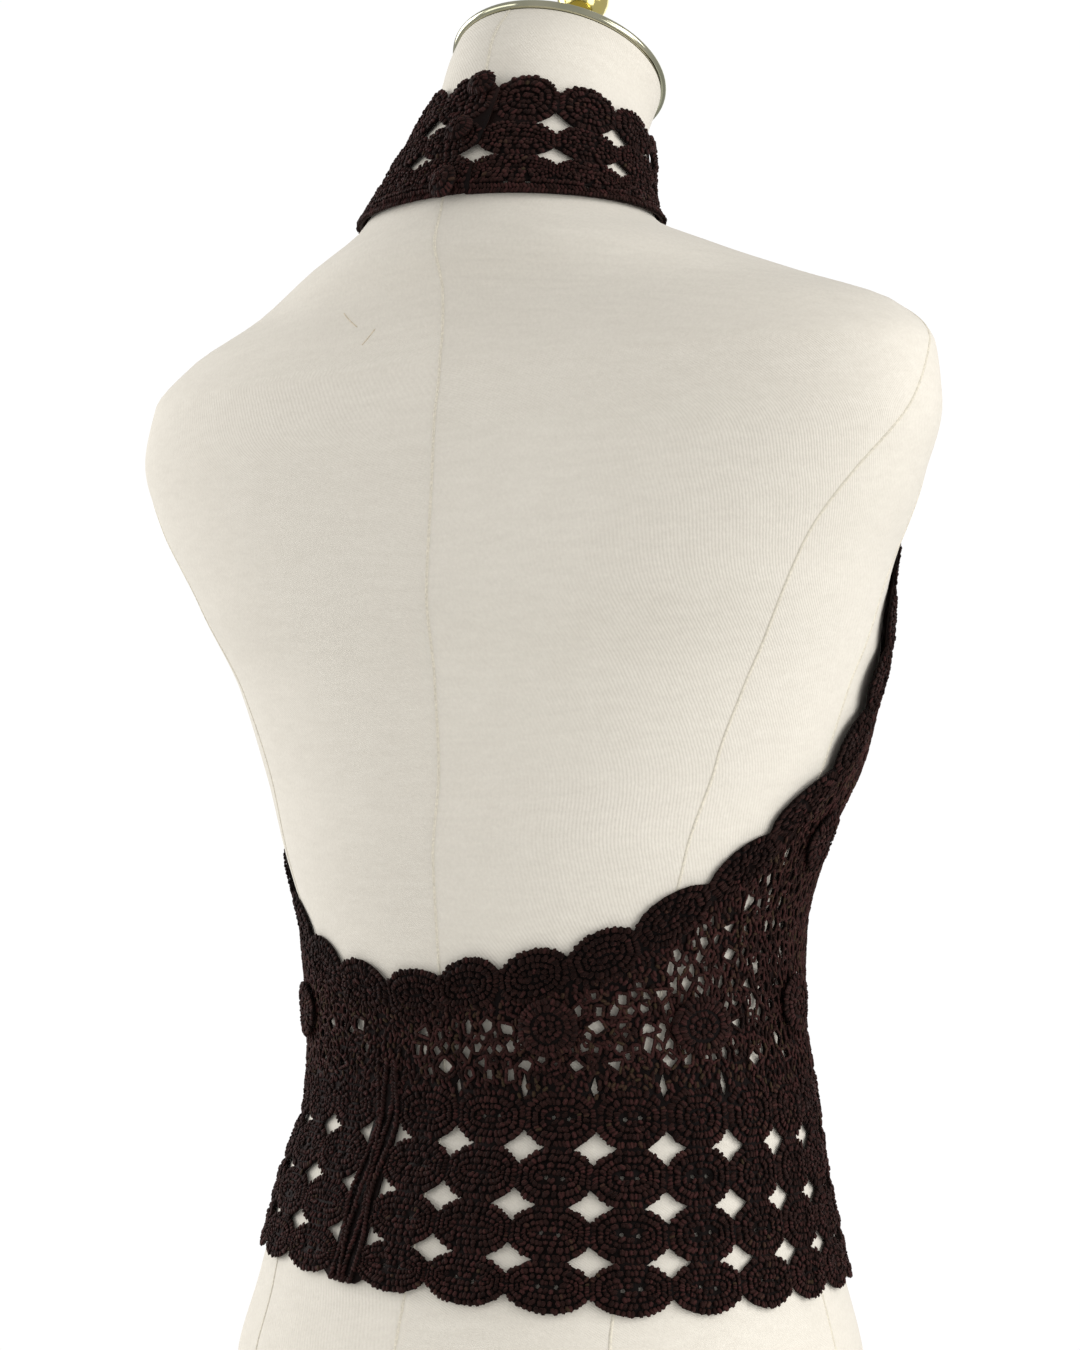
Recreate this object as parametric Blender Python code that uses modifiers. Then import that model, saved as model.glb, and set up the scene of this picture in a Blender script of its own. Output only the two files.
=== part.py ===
"""A crochet halter top worn by a limbless dress form.

The form is a loft through rings. Every piece of the top lies on the form's chart: a share of the girth,
counted from the centre back towards the wearer's right, and a height. The front faces -Y, the wearer's
right is -X, and the form stands on Z = 0.
"""

import math
from functools import partial

import bmesh
import bpy
import numpy as np
from mathutils import Vector
from mathutils.geometry import delaunay_2d_cdt

GAP = 0.0003
COLLECTION = "crochet_halter_top_on_dress_form"

# The form, ring by ring. Lean is how much a ring rises for each metre towards the back.
SECTION_COLUMNS = ("height", "half_width", "back", "front", "middle_y", "power", "lean")
SECTIONS = np.array(
    [
        (0.000, 0.1500, 0.1110, 0.1120, 0.0090, 2.25, 0.00),
        (0.040, 0.1525, 0.1210, 0.1130, 0.0085, 2.25, 0.00),
        (0.080, 0.1475, 0.1230, 0.1100, 0.0075, 2.25, 0.00),
        (0.119, 0.1380, 0.1130, 0.1050, 0.0055, 2.20, 0.00),
        (0.159, 0.1295, 0.0990, 0.0980, 0.0030, 2.20, 0.00),
        (0.199, 0.1215, 0.0880, 0.0930, -0.0045, 2.15, 0.00),
        (0.234, 0.1180, 0.0865, 0.0905, -0.0035, 2.15, 0.00),
        (0.269, 0.1195, 0.0890, 0.0935, -0.0035, 2.15, 0.00),
        (0.308, 0.1310, 0.0905, 0.1015, -0.0035, 2.15, 0.00),
        (0.348, 0.1480, 0.0895, 0.1135, -0.0090, 2.15, 0.00),
        (0.388, 0.1610, 0.0875, 0.1185, -0.0055, 2.15, 0.00),
        (0.428, 0.1770, 0.0840, 0.1080, 0.0050, 2.20, 0.00),
        (0.468, 0.1985, 0.0780, 0.0910, 0.0075, 2.30, 0.00),
        (0.502, 0.2100, 0.0730, 0.0780, 0.0060, 2.40, 0.00),
        (0.527, 0.2070, 0.0695, 0.0695, 0.0020, 2.40, 0.00),
        (0.547, 0.1875, 0.0695, 0.0665, -0.0015, 2.20, 0.00),
        (0.564, 0.1440, 0.0660, 0.0600, 0.0030, 2.00, 0.02),
        (0.579, 0.1060, 0.0650, 0.0570, 0.0095, 2.00, 0.06),
        (0.594, 0.0735, 0.0585, 0.0535, 0.0085, 2.00, 0.12),
        (0.612, 0.0630, 0.0560, 0.0540, 0.0010, 2.00, 0.18),
        (0.637, 0.0550, 0.0520, 0.0520, -0.0125, 2.00, 0.25),
        (0.654, 0.0500, 0.0485, 0.0485, -0.0205, 2.00, 0.37),
        (0.672, 0.0480, 0.0465, 0.0465, -0.0260, 2.00, 0.50),
        (0.696, 0.0510, 0.0405, 0.0405, -0.0360, 2.00, 0.62),
    ]
)
NECK_TOP = SECTIONS[-1, 0]
FORM_SIDES = 32
NECK_SIDES = 24
FORM_RING_STEP = 0.034
FORM_SHOULDER_FROM = 0.502
FORM_SHOULDER_STEP = 0.0097
SHARP_FROM = 50

# How finely the form is measured for its chart.
CHART_RINGS = 231
CHART_STEPS = 721
RING_SAMPLES = 1441

# The neck's metal: a plate, the tube round it and a turned finial.
PLATE_THICK = 0.0025
PLATE_DOME = 0.004
PLATE_CROWN = 0.4
TUBE_RADIUS = 0.0016
TUBE_INSET = 0.0004
TUBE_BEVEL_STEPS = 1
FOOT_RADIUS = 0.010
FOOT_THICK = 0.002
FOOT_FLARE = 0.003
STEM_RADIUS = 0.0033
STEM_LENGTH = 0.030
KNOB_RADIUS = 0.0125
KNOB_SUNK = 0.86
KNOB_FROM = -75
KNOB_STEP = 30
FINIAL_SIDES = 16

# The cloth's wall, and the share of it that each kind of point has.
CLOTH_CLEAR = 0.0028
WALL = 0.0030
EDGE_SHARE = 0.76
GROUND_SHARE = 0.72
ROUND_SHARE = 1.0
EYE_SHARE = 0.78

# An oval motif is an octagon about its cell: its sides touch its neighbours' for a chord's length, and a
# four-pointed gap stays open where four of them meet.
OVAL = 1 / math.cos(math.radians(22.5))
CHORD = math.tan(math.radians(22.5))
GAP_TIP = 1 - CHORD
GAP_WAIST = math.sqrt(2) * (1 - OVAL * math.sqrt(0.5))
ROUND_AT = 0.62
UPPER_SCALLOP = (135, 105, 75, 45)
LOWER_SCALLOP = (225, 255, 285, 315)

# The rows of ovals round the hips. The strip beside the seam closes each round, as one narrow column.
COLUMNS = 24
LAP = COLUMNS + 1
ROWS = 4
SEAM_AT = -0.046
SEAM_SHARE = 0.020
SEAM_FOOT = -0.02
SEAM_RIDGE_FROM = 0.1
MOTIF_SWELL = 0.1673
MOTIF_PHASE = 0.6135
ROW_EDGES = (0.1192, 0.1391, 0.1607, 0.1830, 0.2076)
HIP_SIDES = 6
HANG_TILT = 0.0092
HANG_LEFT = 0.2051
HANG_WAVE = 0.0023
HANG_WAVE_AT = 0.0847
HANG_BUNCH = 0.0052
HANG_BUNCH_AT = 0.0255
HANG_STARTS = 0.115
HANG_ENDS = 0.240
BACK_COLUMNS = (19, 32)
FRONT_COLUMNS = (7, 19)

# The centreline of the border along the back's top edge and both armholes.
BORDER_COLUMNS = ("girth_from_front", "height")
BORDER = np.array(
    [
        (0.335, 0.2505),
        (0.3125, 0.2508),
        (0.276, 0.257),
        (0.2495, 0.2672),
        (0.2273, 0.287),
        (0.2145, 0.3015),
        (0.2085, 0.3176),
        (0.206, 0.3368),
        (0.200, 0.3581),
        (0.1950, 0.3820),
        (0.1910, 0.402),
        (0.1800, 0.422),
        (0.162, 0.444),
        (0.141, 0.468),
        (0.118, 0.496),
        (0.096, 0.526),
        (0.078, 0.555),
        (0.066, 0.578),
        (0.062, 0.596),
    ]
)
BORDER_MOTIFS = 17
BORDER_SIDES = 4
BORDER_GROWS = 1.035
BORDER_SETTLES = 4.0
BORDER_HALF = 0.0115
BORDER_TILT = 0.0035
BORDER_TILT_OVER = 0.02
BORDER_TILT_ENDS = 0.25
CUT_MOTIF = 8
CUT_STEPS = 12
ROUTE_SAMPLES = 400
ROUTE_NEAR = 0.004
BIB_TOP_POINTS = 9

# The net between the ovals, the border and the collar: only its largest gaps are open here. Each band has its
# lowest and highest row, the way between its gaps, and the way between its rows.
NET_BANDS = ((0.2175, 0.268, 0.0205, 0.0155), (0.2745, 0.580, 0.0340, 0.0225))
NET_GAP_HALF = 0.0043
NET_GAP_WIDER = 1.12
NET_JITTER = (0.0022, 0.0014)
NET_WOBBLE = (0.82, 1.18)
NET_FROM_BORDER = BORDER_HALF + 1.55 * NET_GAP_HALF
NET_FROM_COLLAR = 0.016
NET_FROM_CUT = 0.008
NET_FROM_SEAM = 0.014
NET_SEED = 11
NET_REACH = 20
NET_OVER = 0.02
TUBE_TOP_WIDER = 1.2

# The raised rosettes: a row round the waist, and rows up the front, placed from the centre front.
ROSETTE_RADIUS = 0.0130
ROSETTE_THICK = 0.0030
ROSETTE_CLEAR = CLOTH_CLEAR + GROUND_SHARE * WALL + 0.0008
ROSETTE_EYE = 0.85
ROSETTE_GROUND_AT = 0.8
ROSETTE_GROUND_POINTS = 5
WAIST_HEIGHT = 0.2355
WAIST_ROSETTES = (
    (0.078, 0.2340),
    (0.177, 0.2325),
    (0.267, 0.2385),
    (0.352, 0.2365),
    (0.433, 0.2355),
    (0.519, 0.2355),
    (0.605, 0.2355),
    (0.691, 0.2360),
    (0.777, 0.2375),
    (0.848, 0.2390),
)
FRONT_ROSETTES = (
    (0.312, (-0.1713, -0.0595, 0.0595, 0.1713)),
    (0.392, (-0.119, 0.0, 0.119)),
    (0.472, (-0.0595, 0.0595)),
    (0.548, (0.0,)),
)

# The collar: rows of ovals over a plain rim, open at its closure.
COLLAR_COLUMNS = 12
COLLAR_SIDES = 4
COLLAR_FRONT_COLUMN = 6
COLLAR_CLOSURE = 0.036
COLLAR_BOTTOM = 0.5955
COLLAR_DIP = 0.001
COLLAR_RIM = 0.004
COLLAR_FLARE = 0.015
COLLAR_EDGES = (0.6118, 0.6286, 0.6522)
COLLAR_CLEAR = 0.0021
BUTTON_RADIUS = 0.0062
BUTTON_THICK = 0.0042
BUTTON_CLEAR = COLLAR_CLEAR + WALL + 0.0006
BUTTONS = ((0.0158, 0.6460), (0.0095, 0.6230), (0.0105, 0.5995))

# A disc's rings: its share of the radius, and the share of the thickness there.
DISC_SIDES = 8
DISC_SHOULDER = (0.55, 1.0)
DISC_RIM = (1.0, 0.55)

# Finishes: colour, roughness and metallic value.
FABRIC = ((0.80, 0.76, 0.68), 0.85, 0.0)
YARN = ((0.035, 0.017, 0.013), 0.80, 0.0)
METAL = ((0.72, 0.58, 0.30), 0.22, 1.0)

for leftover in list(bpy.data.objects):
    bpy.data.objects.remove(leftover, do_unlink=True)
collection = bpy.data.collections.new(COLLECTION)
bpy.context.scene.collection.children.link(collection)


def monotone(table_x, table_y, x):
    """A smooth curve through a table that never overshoots it (Fritsch and Carlson)."""
    step = np.diff(table_x)
    secant = np.diff(table_y) / step
    slope = np.concatenate([secant[:1], np.zeros(len(secant) - 1), secant[-1:]])
    same = secant[:-1] * secant[1:] > 0
    first = 2 * step[1:] + step[:-1]
    second = step[1:] + 2 * step[:-1]
    low, high = np.where(same, secant[:-1], 1), np.where(same, secant[1:], 1)
    slope[1:-1] = np.where(same, (first + second) / (first / low + second / high), 0)
    x = np.clip(x, table_x[0], table_x[-1])
    i = np.clip(np.searchsorted(table_x, x, side="right") - 1, 0, len(step) - 1)
    t = (x - table_x[i]) / step[i]
    rise = (1 + 2 * t) * (1 - t) ** 2 * table_y[i] + t * t * (3 - 2 * t) * table_y[i + 1]
    return rise + step[i] * t * (1 - t) * ((1 - t) * slope[i] - t * slope[i + 1])


def section(column, height):
    """One column of the form's table at any height."""
    return monotone(SECTIONS[:, 0], SECTIONS[:, SECTION_COLUMNS.index(column)], height)


def form_point(angle, height):
    """A point of the form: the angle is counted from the centre back towards the wearer's right."""
    angle, height = np.broadcast_arrays(np.asarray(angle, float), np.asarray(height, float))
    sine, cosine = np.sin(angle), np.cos(angle)
    bend = 2 / section("power", height)
    depth = np.where(cosine > 0, section("back", height), section("front", height))
    x = -section("half_width", height) * np.sign(sine) * np.abs(sine) ** bend
    y = depth * np.sign(cosine) * np.abs(cosine) ** bend + section("middle_y", height)
    return np.stack([x, y, height + section("lean", height) * y], axis=-1)


CHART_HEIGHTS = np.linspace(0, NECK_TOP, CHART_RINGS)
CHART_SHARES = np.linspace(0, 1, CHART_STEPS)


def measure_rings():
    """The girth at each chart height, and the angle at each share of that girth."""
    angles = np.linspace(0, 2 * math.pi, RING_SAMPLES)
    girths = np.zeros(len(CHART_HEIGHTS))
    inverse = np.zeros((len(CHART_HEIGHTS), len(CHART_SHARES)))
    for i, height in enumerate(CHART_HEIGHTS):
        ring = form_point(angles, height)
        along = np.concatenate([[0], np.cumsum(np.linalg.norm(np.diff(ring, axis=0), axis=1))])
        girths[i] = along[-1]
        inverse[i] = np.interp(CHART_SHARES, along / along[-1], angles)
    return girths, inverse


GIRTHS, ANGLES = measure_rings()


def girth(height):
    """The distance round the form at a height."""
    return np.interp(height, CHART_HEIGHTS, GIRTHS)


def angle_of(share, height):
    """The angle at a share of the girth, read from the measured rings."""
    turns = np.floor(share)
    across = (share - turns) * (len(CHART_SHARES) - 1)
    up = np.clip(height / NECK_TOP, 0, 1) * (len(CHART_HEIGHTS) - 1)
    i = np.minimum(across.astype(int), len(CHART_SHARES) - 2)
    j = np.minimum(up.astype(int), len(CHART_HEIGHTS) - 2)
    a, b = across - i, up - j
    low = ANGLES[j, i] * (1 - a) + ANGLES[j, i + 1] * a
    high = ANGLES[j + 1, i] * (1 - a) + ANGLES[j + 1, i + 1] * a
    return low * (1 - b) + high * b + turns * 2 * math.pi


def wrap(share, height, clear):
    """Chart points as points in space, each a clear distance off the form."""
    share, height = np.asarray(share, float), np.asarray(height, float)
    angle = angle_of(share, height)
    small = 1e-3
    across = form_point(angle + small, height) - form_point(angle - small, height)
    up = form_point(angle, height + small) - form_point(angle, height - small)
    normal = np.cross(across, up)
    normal /= np.linalg.norm(normal, axis=-1, keepdims=True)
    return form_point(angle, height) + normal * np.asarray(clear)[..., None]


def new_object(name, data, finish):
    """An object in the part's collection with its own material."""
    made = bpy.data.objects.new(name, data)
    collection.objects.link(made)
    colour, roughness, metallic = finish
    material = bpy.data.materials.new(name + "_finish")
    material.use_nodes = True
    shader = material.node_tree.nodes["Principled BSDF"]
    shader.inputs["Base Color"].default_value = (*colour, 1)
    shader.inputs["Roughness"].default_value = roughness
    shader.inputs["Metallic"].default_value = metallic
    data.materials.append(material)
    return made


def finish_mesh(name, built):
    """A smooth-shaded mesh from a bmesh, with its hard edges kept."""
    mesh = bpy.data.meshes.new(name)
    built.to_mesh(mesh)
    built.free()
    mesh.shade_smooth()
    mesh.set_sharp_from_angle(angle=math.radians(SHARP_FROM))
    return mesh


def loft(name, rings):
    """A closed mesh through rings of the same number of points, capped at both ends."""
    built = bmesh.new()
    loops = [[built.verts.new(point) for point in ring] for ring in rings]
    for low, high in zip(loops, loops[1:]):
        for i in range(len(low)):
            j = (i + 1) % len(low)
            built.faces.new((low[i], low[j], high[j], high[i]))
    built.faces.new(loops[0][::-1])
    built.faces.new(loops[-1])
    return finish_mesh(name, built)


def neck_axis():
    """The unit normal of the neck's leaning top ring."""
    return Vector((0, -float(section("lean", NECK_TOP)), 1)).normalized()


def neck_ring(grow, lift):
    """Points round the neck's top, grown by a distance and lifted along the neck's axis."""
    angles = np.arange(NECK_SIDES) * 2 * math.pi / NECK_SIDES
    x = -(float(section("half_width", NECK_TOP)) + grow) * np.sin(angles)
    y = (float(section("back", NECK_TOP)) + grow) * np.cos(angles) + float(section("middle_y", NECK_TOP))
    points = np.stack([x, y, NECK_TOP + float(section("lean", NECK_TOP)) * y], axis=-1)
    return points + lift * np.array(neck_axis())


def form_heights():
    """Ring heights: even steps up to the shoulder, and closer ones over the shoulder and the neck."""
    low = np.linspace(0, FORM_SHOULDER_FROM, 1 + round(FORM_SHOULDER_FROM / FORM_RING_STEP))
    rest = NECK_TOP - FORM_SHOULDER_FROM
    high = np.linspace(FORM_SHOULDER_FROM, NECK_TOP, 1 + round(rest / FORM_SHOULDER_STEP))
    return np.concatenate([low, high[1:]])


def build_form():
    """The padded torso, from its flat foot to the top of the neck."""
    angles = np.arange(FORM_SIDES) * 2 * math.pi / FORM_SIDES
    torso = loft("form_torso", [form_point(angles, height) for height in form_heights()])
    new_object("form_torso", torso, FABRIC)


def build_plate():
    """The low domed plate that closes the neck inside the tube."""
    crown = -(1 - PLATE_CROWN) * float(section("half_width", NECK_TOP))
    edge = -(TUBE_INSET + TUBE_RADIUS + GAP)
    rings = [
        neck_ring(edge, GAP),
        neck_ring(edge, GAP + PLATE_THICK),
        neck_ring(crown, GAP + PLATE_THICK + PLATE_DOME),
    ]
    new_object("neck_plate", loft("neck_plate", rings), METAL)


def build_tube():
    """The polished tube that lies round the neck's top edge."""
    centres = neck_ring(-TUBE_INSET, TUBE_RADIUS + GAP)
    curve = bpy.data.curves.new("neck_ring", "CURVE")
    curve.dimensions = "3D"
    curve.bevel_depth = TUBE_RADIUS
    curve.bevel_resolution = TUBE_BEVEL_STEPS
    spline = curve.splines.new("POLY")
    spline.points.add(len(centres) - 1)
    for place, point in zip(spline.points, centres):
        place.co = (*point, 1)
    spline.use_cyclic_u = True
    new_object("neck_ring", curve, METAL)


def build_finial():
    """The turned finial: a foot, a stem and a knob, standing square on the leaning plate."""
    foot = PLATE_THICK + PLATE_DOME + 2 * GAP
    stem_top = foot + STEM_LENGTH
    knob_middle = stem_top + KNOB_RADIUS * KNOB_SUNK
    profile = [(0.0, foot), (FOOT_RADIUS, foot), (FOOT_RADIUS, foot + FOOT_THICK)]
    profile += [(STEM_RADIUS, foot + FOOT_THICK + FOOT_FLARE), (STEM_RADIUS, stem_top - FOOT_THICK)]
    for degrees in range(KNOB_FROM, 90, KNOB_STEP):
        angle = math.radians(degrees)
        profile.append((KNOB_RADIUS * math.cos(angle), knob_middle + KNOB_RADIUS * math.sin(angle)))
    profile.append((0.0, knob_middle + KNOB_RADIUS))
    built = bmesh.new()
    points = [built.verts.new((radius, 0, height)) for radius, height in profile[::-1]]
    for upper, lower in zip(points, points[1:]):
        built.edges.new((upper, lower))
    mesh = bpy.data.meshes.new("finial")
    built.to_mesh(mesh)
    built.free()
    finial = new_object("finial", mesh, METAL)
    screw = finial.modifiers.new("turned", "SCREW")
    screw.angle = 2 * math.pi
    screw.steps = screw.render_steps = FINIAL_SIDES
    screw.use_merge_vertices = True
    screw.merge_threshold = 1e-5
    screw.use_smooth_shade = True
    axis = neck_axis()
    middle_y = float(section("middle_y", NECK_TOP))
    finial.location = (0, middle_y, NECK_TOP + float(section("lean", NECK_TOP)) * middle_y)
    finial.rotation_euler = (math.atan2(-axis.y, axis.z), 0, 0)


def column_share(column):
    """The share of the girth at a column's edge. The motifs are widest at the centre back and front."""
    lap, step = divmod(column, LAP)
    turn = min(step, COLUMNS) / COLUMNS
    wave = math.sin(4 * math.pi * turn - MOTIF_PHASE) + math.sin(MOTIF_PHASE)
    motifs = turn + MOTIF_SWELL / (4 * math.pi) * wave
    strip = max(step - COLUMNS, 0)
    return lap + SEAM_AT + SEAM_SHARE / 2 + (1 - SEAM_SHARE) * motifs + SEAM_SHARE * strip


def hang(share):
    """How far the hem hangs off level, and how far round it is drawn, at a share of the girth."""
    tilt = HANG_TILT * math.cos(2 * math.pi * (share + HANG_LEFT))
    wave = HANG_WAVE * math.cos(4 * math.pi * (share - HANG_WAVE_AT))
    return tilt - wave, HANG_BUNCH * math.sin(2 * math.pi * (share - HANG_BUNCH_AT))


def hip_point(column, row):
    """The chart point at a column and a row of the hips' ovals, which hang less the higher they are."""
    share = column_share(column)
    level = float(np.interp(row, range(ROWS + 1), ROW_EDGES)) + min(row, 0) * (ROW_EDGES[1] - ROW_EDGES[0])
    fade = min(max((HANG_ENDS - level) / (HANG_ENDS - HANG_STARTS), 0), 1)
    up, aside = hang(share)
    return share + fade * aside, level + fade * up


def in_cell(lattice, column, row, x, y):
    """A chart point of one oval: x and y run from -1 to 1 across it."""
    return lattice(column + 0.5 + OVAL * x / 2, row + 0.5 + OVAL * y / 2)


def scallop(lattice, column, row, turns):
    """Points along an oval's free edge, at the given turns in degrees."""
    angles = [math.radians(degrees) for degrees in turns]
    return [in_cell(lattice, column, row, math.cos(angle), math.sin(angle)) for angle in angles]


def corner_gap(lattice, column, row, turns):
    """The gap where four ovals meet, or the part of it that the given turns in degrees go round."""
    points = []
    for degrees in turns:
        reach = (GAP_WAIST if degrees % 90 else GAP_TIP) / 2
        angle = math.radians(degrees)
        points.append(lattice(column + reach * math.cos(angle), row + reach * math.sin(angle)))
    return points


def is_seam(column):
    """Whether a column is the narrow strip of the seam."""
    return column % LAP == COLUMNS


def collar_bottom(share):
    """The height of the collar's lower edge, which dips over the shoulders."""
    return COLLAR_BOTTOM - COLLAR_DIP * math.sin(2 * math.pi * share) ** 2


def border_route():
    """The border's centreline as evenly stepped (distance, minus girth from the front, height)."""
    along = np.concatenate([[0], np.cumsum(np.linalg.norm(np.diff(BORDER, axis=0), axis=1))])
    fine = np.linspace(0, along[-1], ROUTE_SAMPLES)
    lead = -monotone(along, BORDER[:, BORDER_COLUMNS.index("girth_from_front")], fine)
    height = monotone(along, BORDER[:, BORDER_COLUMNS.index("height")], fine)
    lead[0] = -girth(height[0]) / 2
    line = np.stack([lead, height], axis=-1)
    distance = np.concatenate([[0], np.cumsum(np.linalg.norm(np.diff(line, axis=0), axis=1))])
    return distance, line


ROUTE_DISTANCE, ROUTE = border_route()
ROUTE_BOTH_SIDES = np.concatenate([ROUTE, ROUTE[::-1] * (-1, 1)])
TUBE_OUTLINE = np.concatenate([ROUTE_BOTH_SIDES, ROUTE_BOTH_SIDES[[-1, 0]] * (TUBE_TOP_WIDER, 0)])


def border_edge(motif):
    """How far along the border a motif's edge lies. The motifs at the back are wider."""
    grown = motif + BORDER_GROWS * (1 - math.exp(-motif / BORDER_SETTLES))
    whole = BORDER_MOTIFS + BORDER_GROWS * (1 - math.exp(-BORDER_MOTIFS / BORDER_SETTLES))
    return ROUTE_DISTANCE[-1] * grown / whole


def route_at(distance):
    """The place on the border's centreline and the unit direction there."""
    reach = np.clip([distance - ROUTE_NEAR, distance, distance + ROUTE_NEAR], 0, ROUTE_DISTANCE[-1])
    places = np.stack([np.interp(reach, ROUTE_DISTANCE, ROUTE[:, k]) for k in (0, 1)], axis=-1)
    way = places[2] - places[0]
    return places[1], way / np.linalg.norm(way)


def border_chart(place, side):
    """The chart point of a centreline pair on one side, with the back edge's slight tilt."""
    share = side * (0.5 + place[0] / float(girth(place[1])))
    fade = max(0.0, 1 - abs(share) / BORDER_TILT_ENDS)
    height = place[1] + BORDER_TILT * math.tanh(share / BORDER_TILT_OVER) * fade
    return share, min(height, collar_bottom(share) - 2 * GAP)


def border_point(motif, side, turns, x, y):
    """A chart point of a border motif: x and y run from -1 to 1 along and across it."""
    low, high = border_edge(motif), border_edge(motif + 1)
    place, way = route_at((low + high) / 2)
    across = np.array([-way[1], way[0]])
    offset = way * OVAL * x * (high - low) / 2 + across * OVAL * y * BORDER_HALF
    share, height = border_chart(place + offset, side)
    return share + turns, height


def border_chord(edge, out, side):
    """The chart point at either end of the line where two border motifs touch."""
    place, way = route_at(border_edge(edge))
    across = np.array([-way[1], way[0]]) if edge else np.array([0.0, 1.0])
    return border_chart(place + across * out * CHORD * BORDER_HALF, side)


def border_outline(first, last, side):
    """The outer scallops of the border's motifs, without the ends."""
    places = []
    for motif in range(first, last):
        for degrees in UPPER_SCALLOP:
            angle = math.radians(degrees)
            places.append(border_point(motif, side, 0, math.cos(angle), math.sin(angle)))
        if motif + 1 < last:
            places.append(border_chord(motif + 1, 1, side))
    return places


def cut_ends(side):
    """Where the side cut leaves the ovals and where it meets the border."""
    column = FRONT_COLUMNS[0] if side > 0 else FRONT_COLUMNS[1] - LAP
    return hip_point(column, ROWS), border_chord(CUT_MOTIF, -1, side)


def cut_share(side, height):
    """The share of the side cut above the ovals. It is upright where it meets the border."""
    (low_share, low), (top_share, top) = cut_ends(side)
    up = (height - low) / (top - low)
    return low_share + (top_share - low_share) * up * (2 - up)


def cut_line(side):
    """The side cut above the ovals, upwards, and through the border."""
    (_, low), (_, top) = cut_ends(side)
    line = [(cut_share(side, height), height) for height in np.linspace(low, top, CUT_STEPS + 1)[1:]]
    return line + [border_chord(CUT_MOTIF, out, side) for out in (0, 1)]


def side_line(column, side):
    """The side cut between two columns of ovals, upwards, round half of each gap that it meets."""
    turns = range(270, 89, -45) if side > 0 else range(-90, 91, 45)
    places = [hip_point(column, GAP_TIP / 2)]
    for row in range(1, ROWS):
        places += corner_gap(hip_point, column, row, turns)
    return places + [hip_point(column, ROWS)]


def hem_line(first, last):
    """The scalloped hem under the columns from first to last, straight across the seam's strip."""
    places = []
    for column in range(first, last):
        if is_seam(column):
            places += [hip_point(column + step, SEAM_FOOT) for step in (0, 0.5, 1)]
            continue
        places += scallop(hip_point, column, 0, LOWER_SCALLOP)
        if column + 1 < last and not is_seam(column + 1):
            places.append(hip_point(column + 1, GAP_TIP / 2))
    return places


def moved(places, shift, rise=0.0):
    """Chart points with a shift added to their shares and a rise to their heights."""
    return [(share + shift, height + rise) for share, height in places]


def rosette_places():
    """Every rosette as (share, height)."""
    places = list(WAIST_ROSETTES)
    for height, reaches in FRONT_ROSETTES:
        places += [(0.5 + reach / float(girth(height)), height) for reach in reaches]
    return places


def share_apart(one, other):
    """How far two shares are apart, the shorter way round."""
    return np.abs((one - other + 0.5) % 1 - 0.5)


def inside(points, polygon):
    """Which points lie in a polygon, by counting the edges to their right."""
    x, y = points[:, 0][:, None], points[:, 1][:, None]
    x0, y0 = polygon[:, 0], polygon[:, 1]
    x1, y1 = np.roll(x0, -1), np.roll(y0, -1)
    crosses = (y0 > y) != (y1 > y)
    level = np.where(y1 == y0, 1, y1 - y0)
    right = x < (x1 - x0) * (y - y0) / level + x0
    return (crosses & right).sum(1) % 2 == 1


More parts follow.
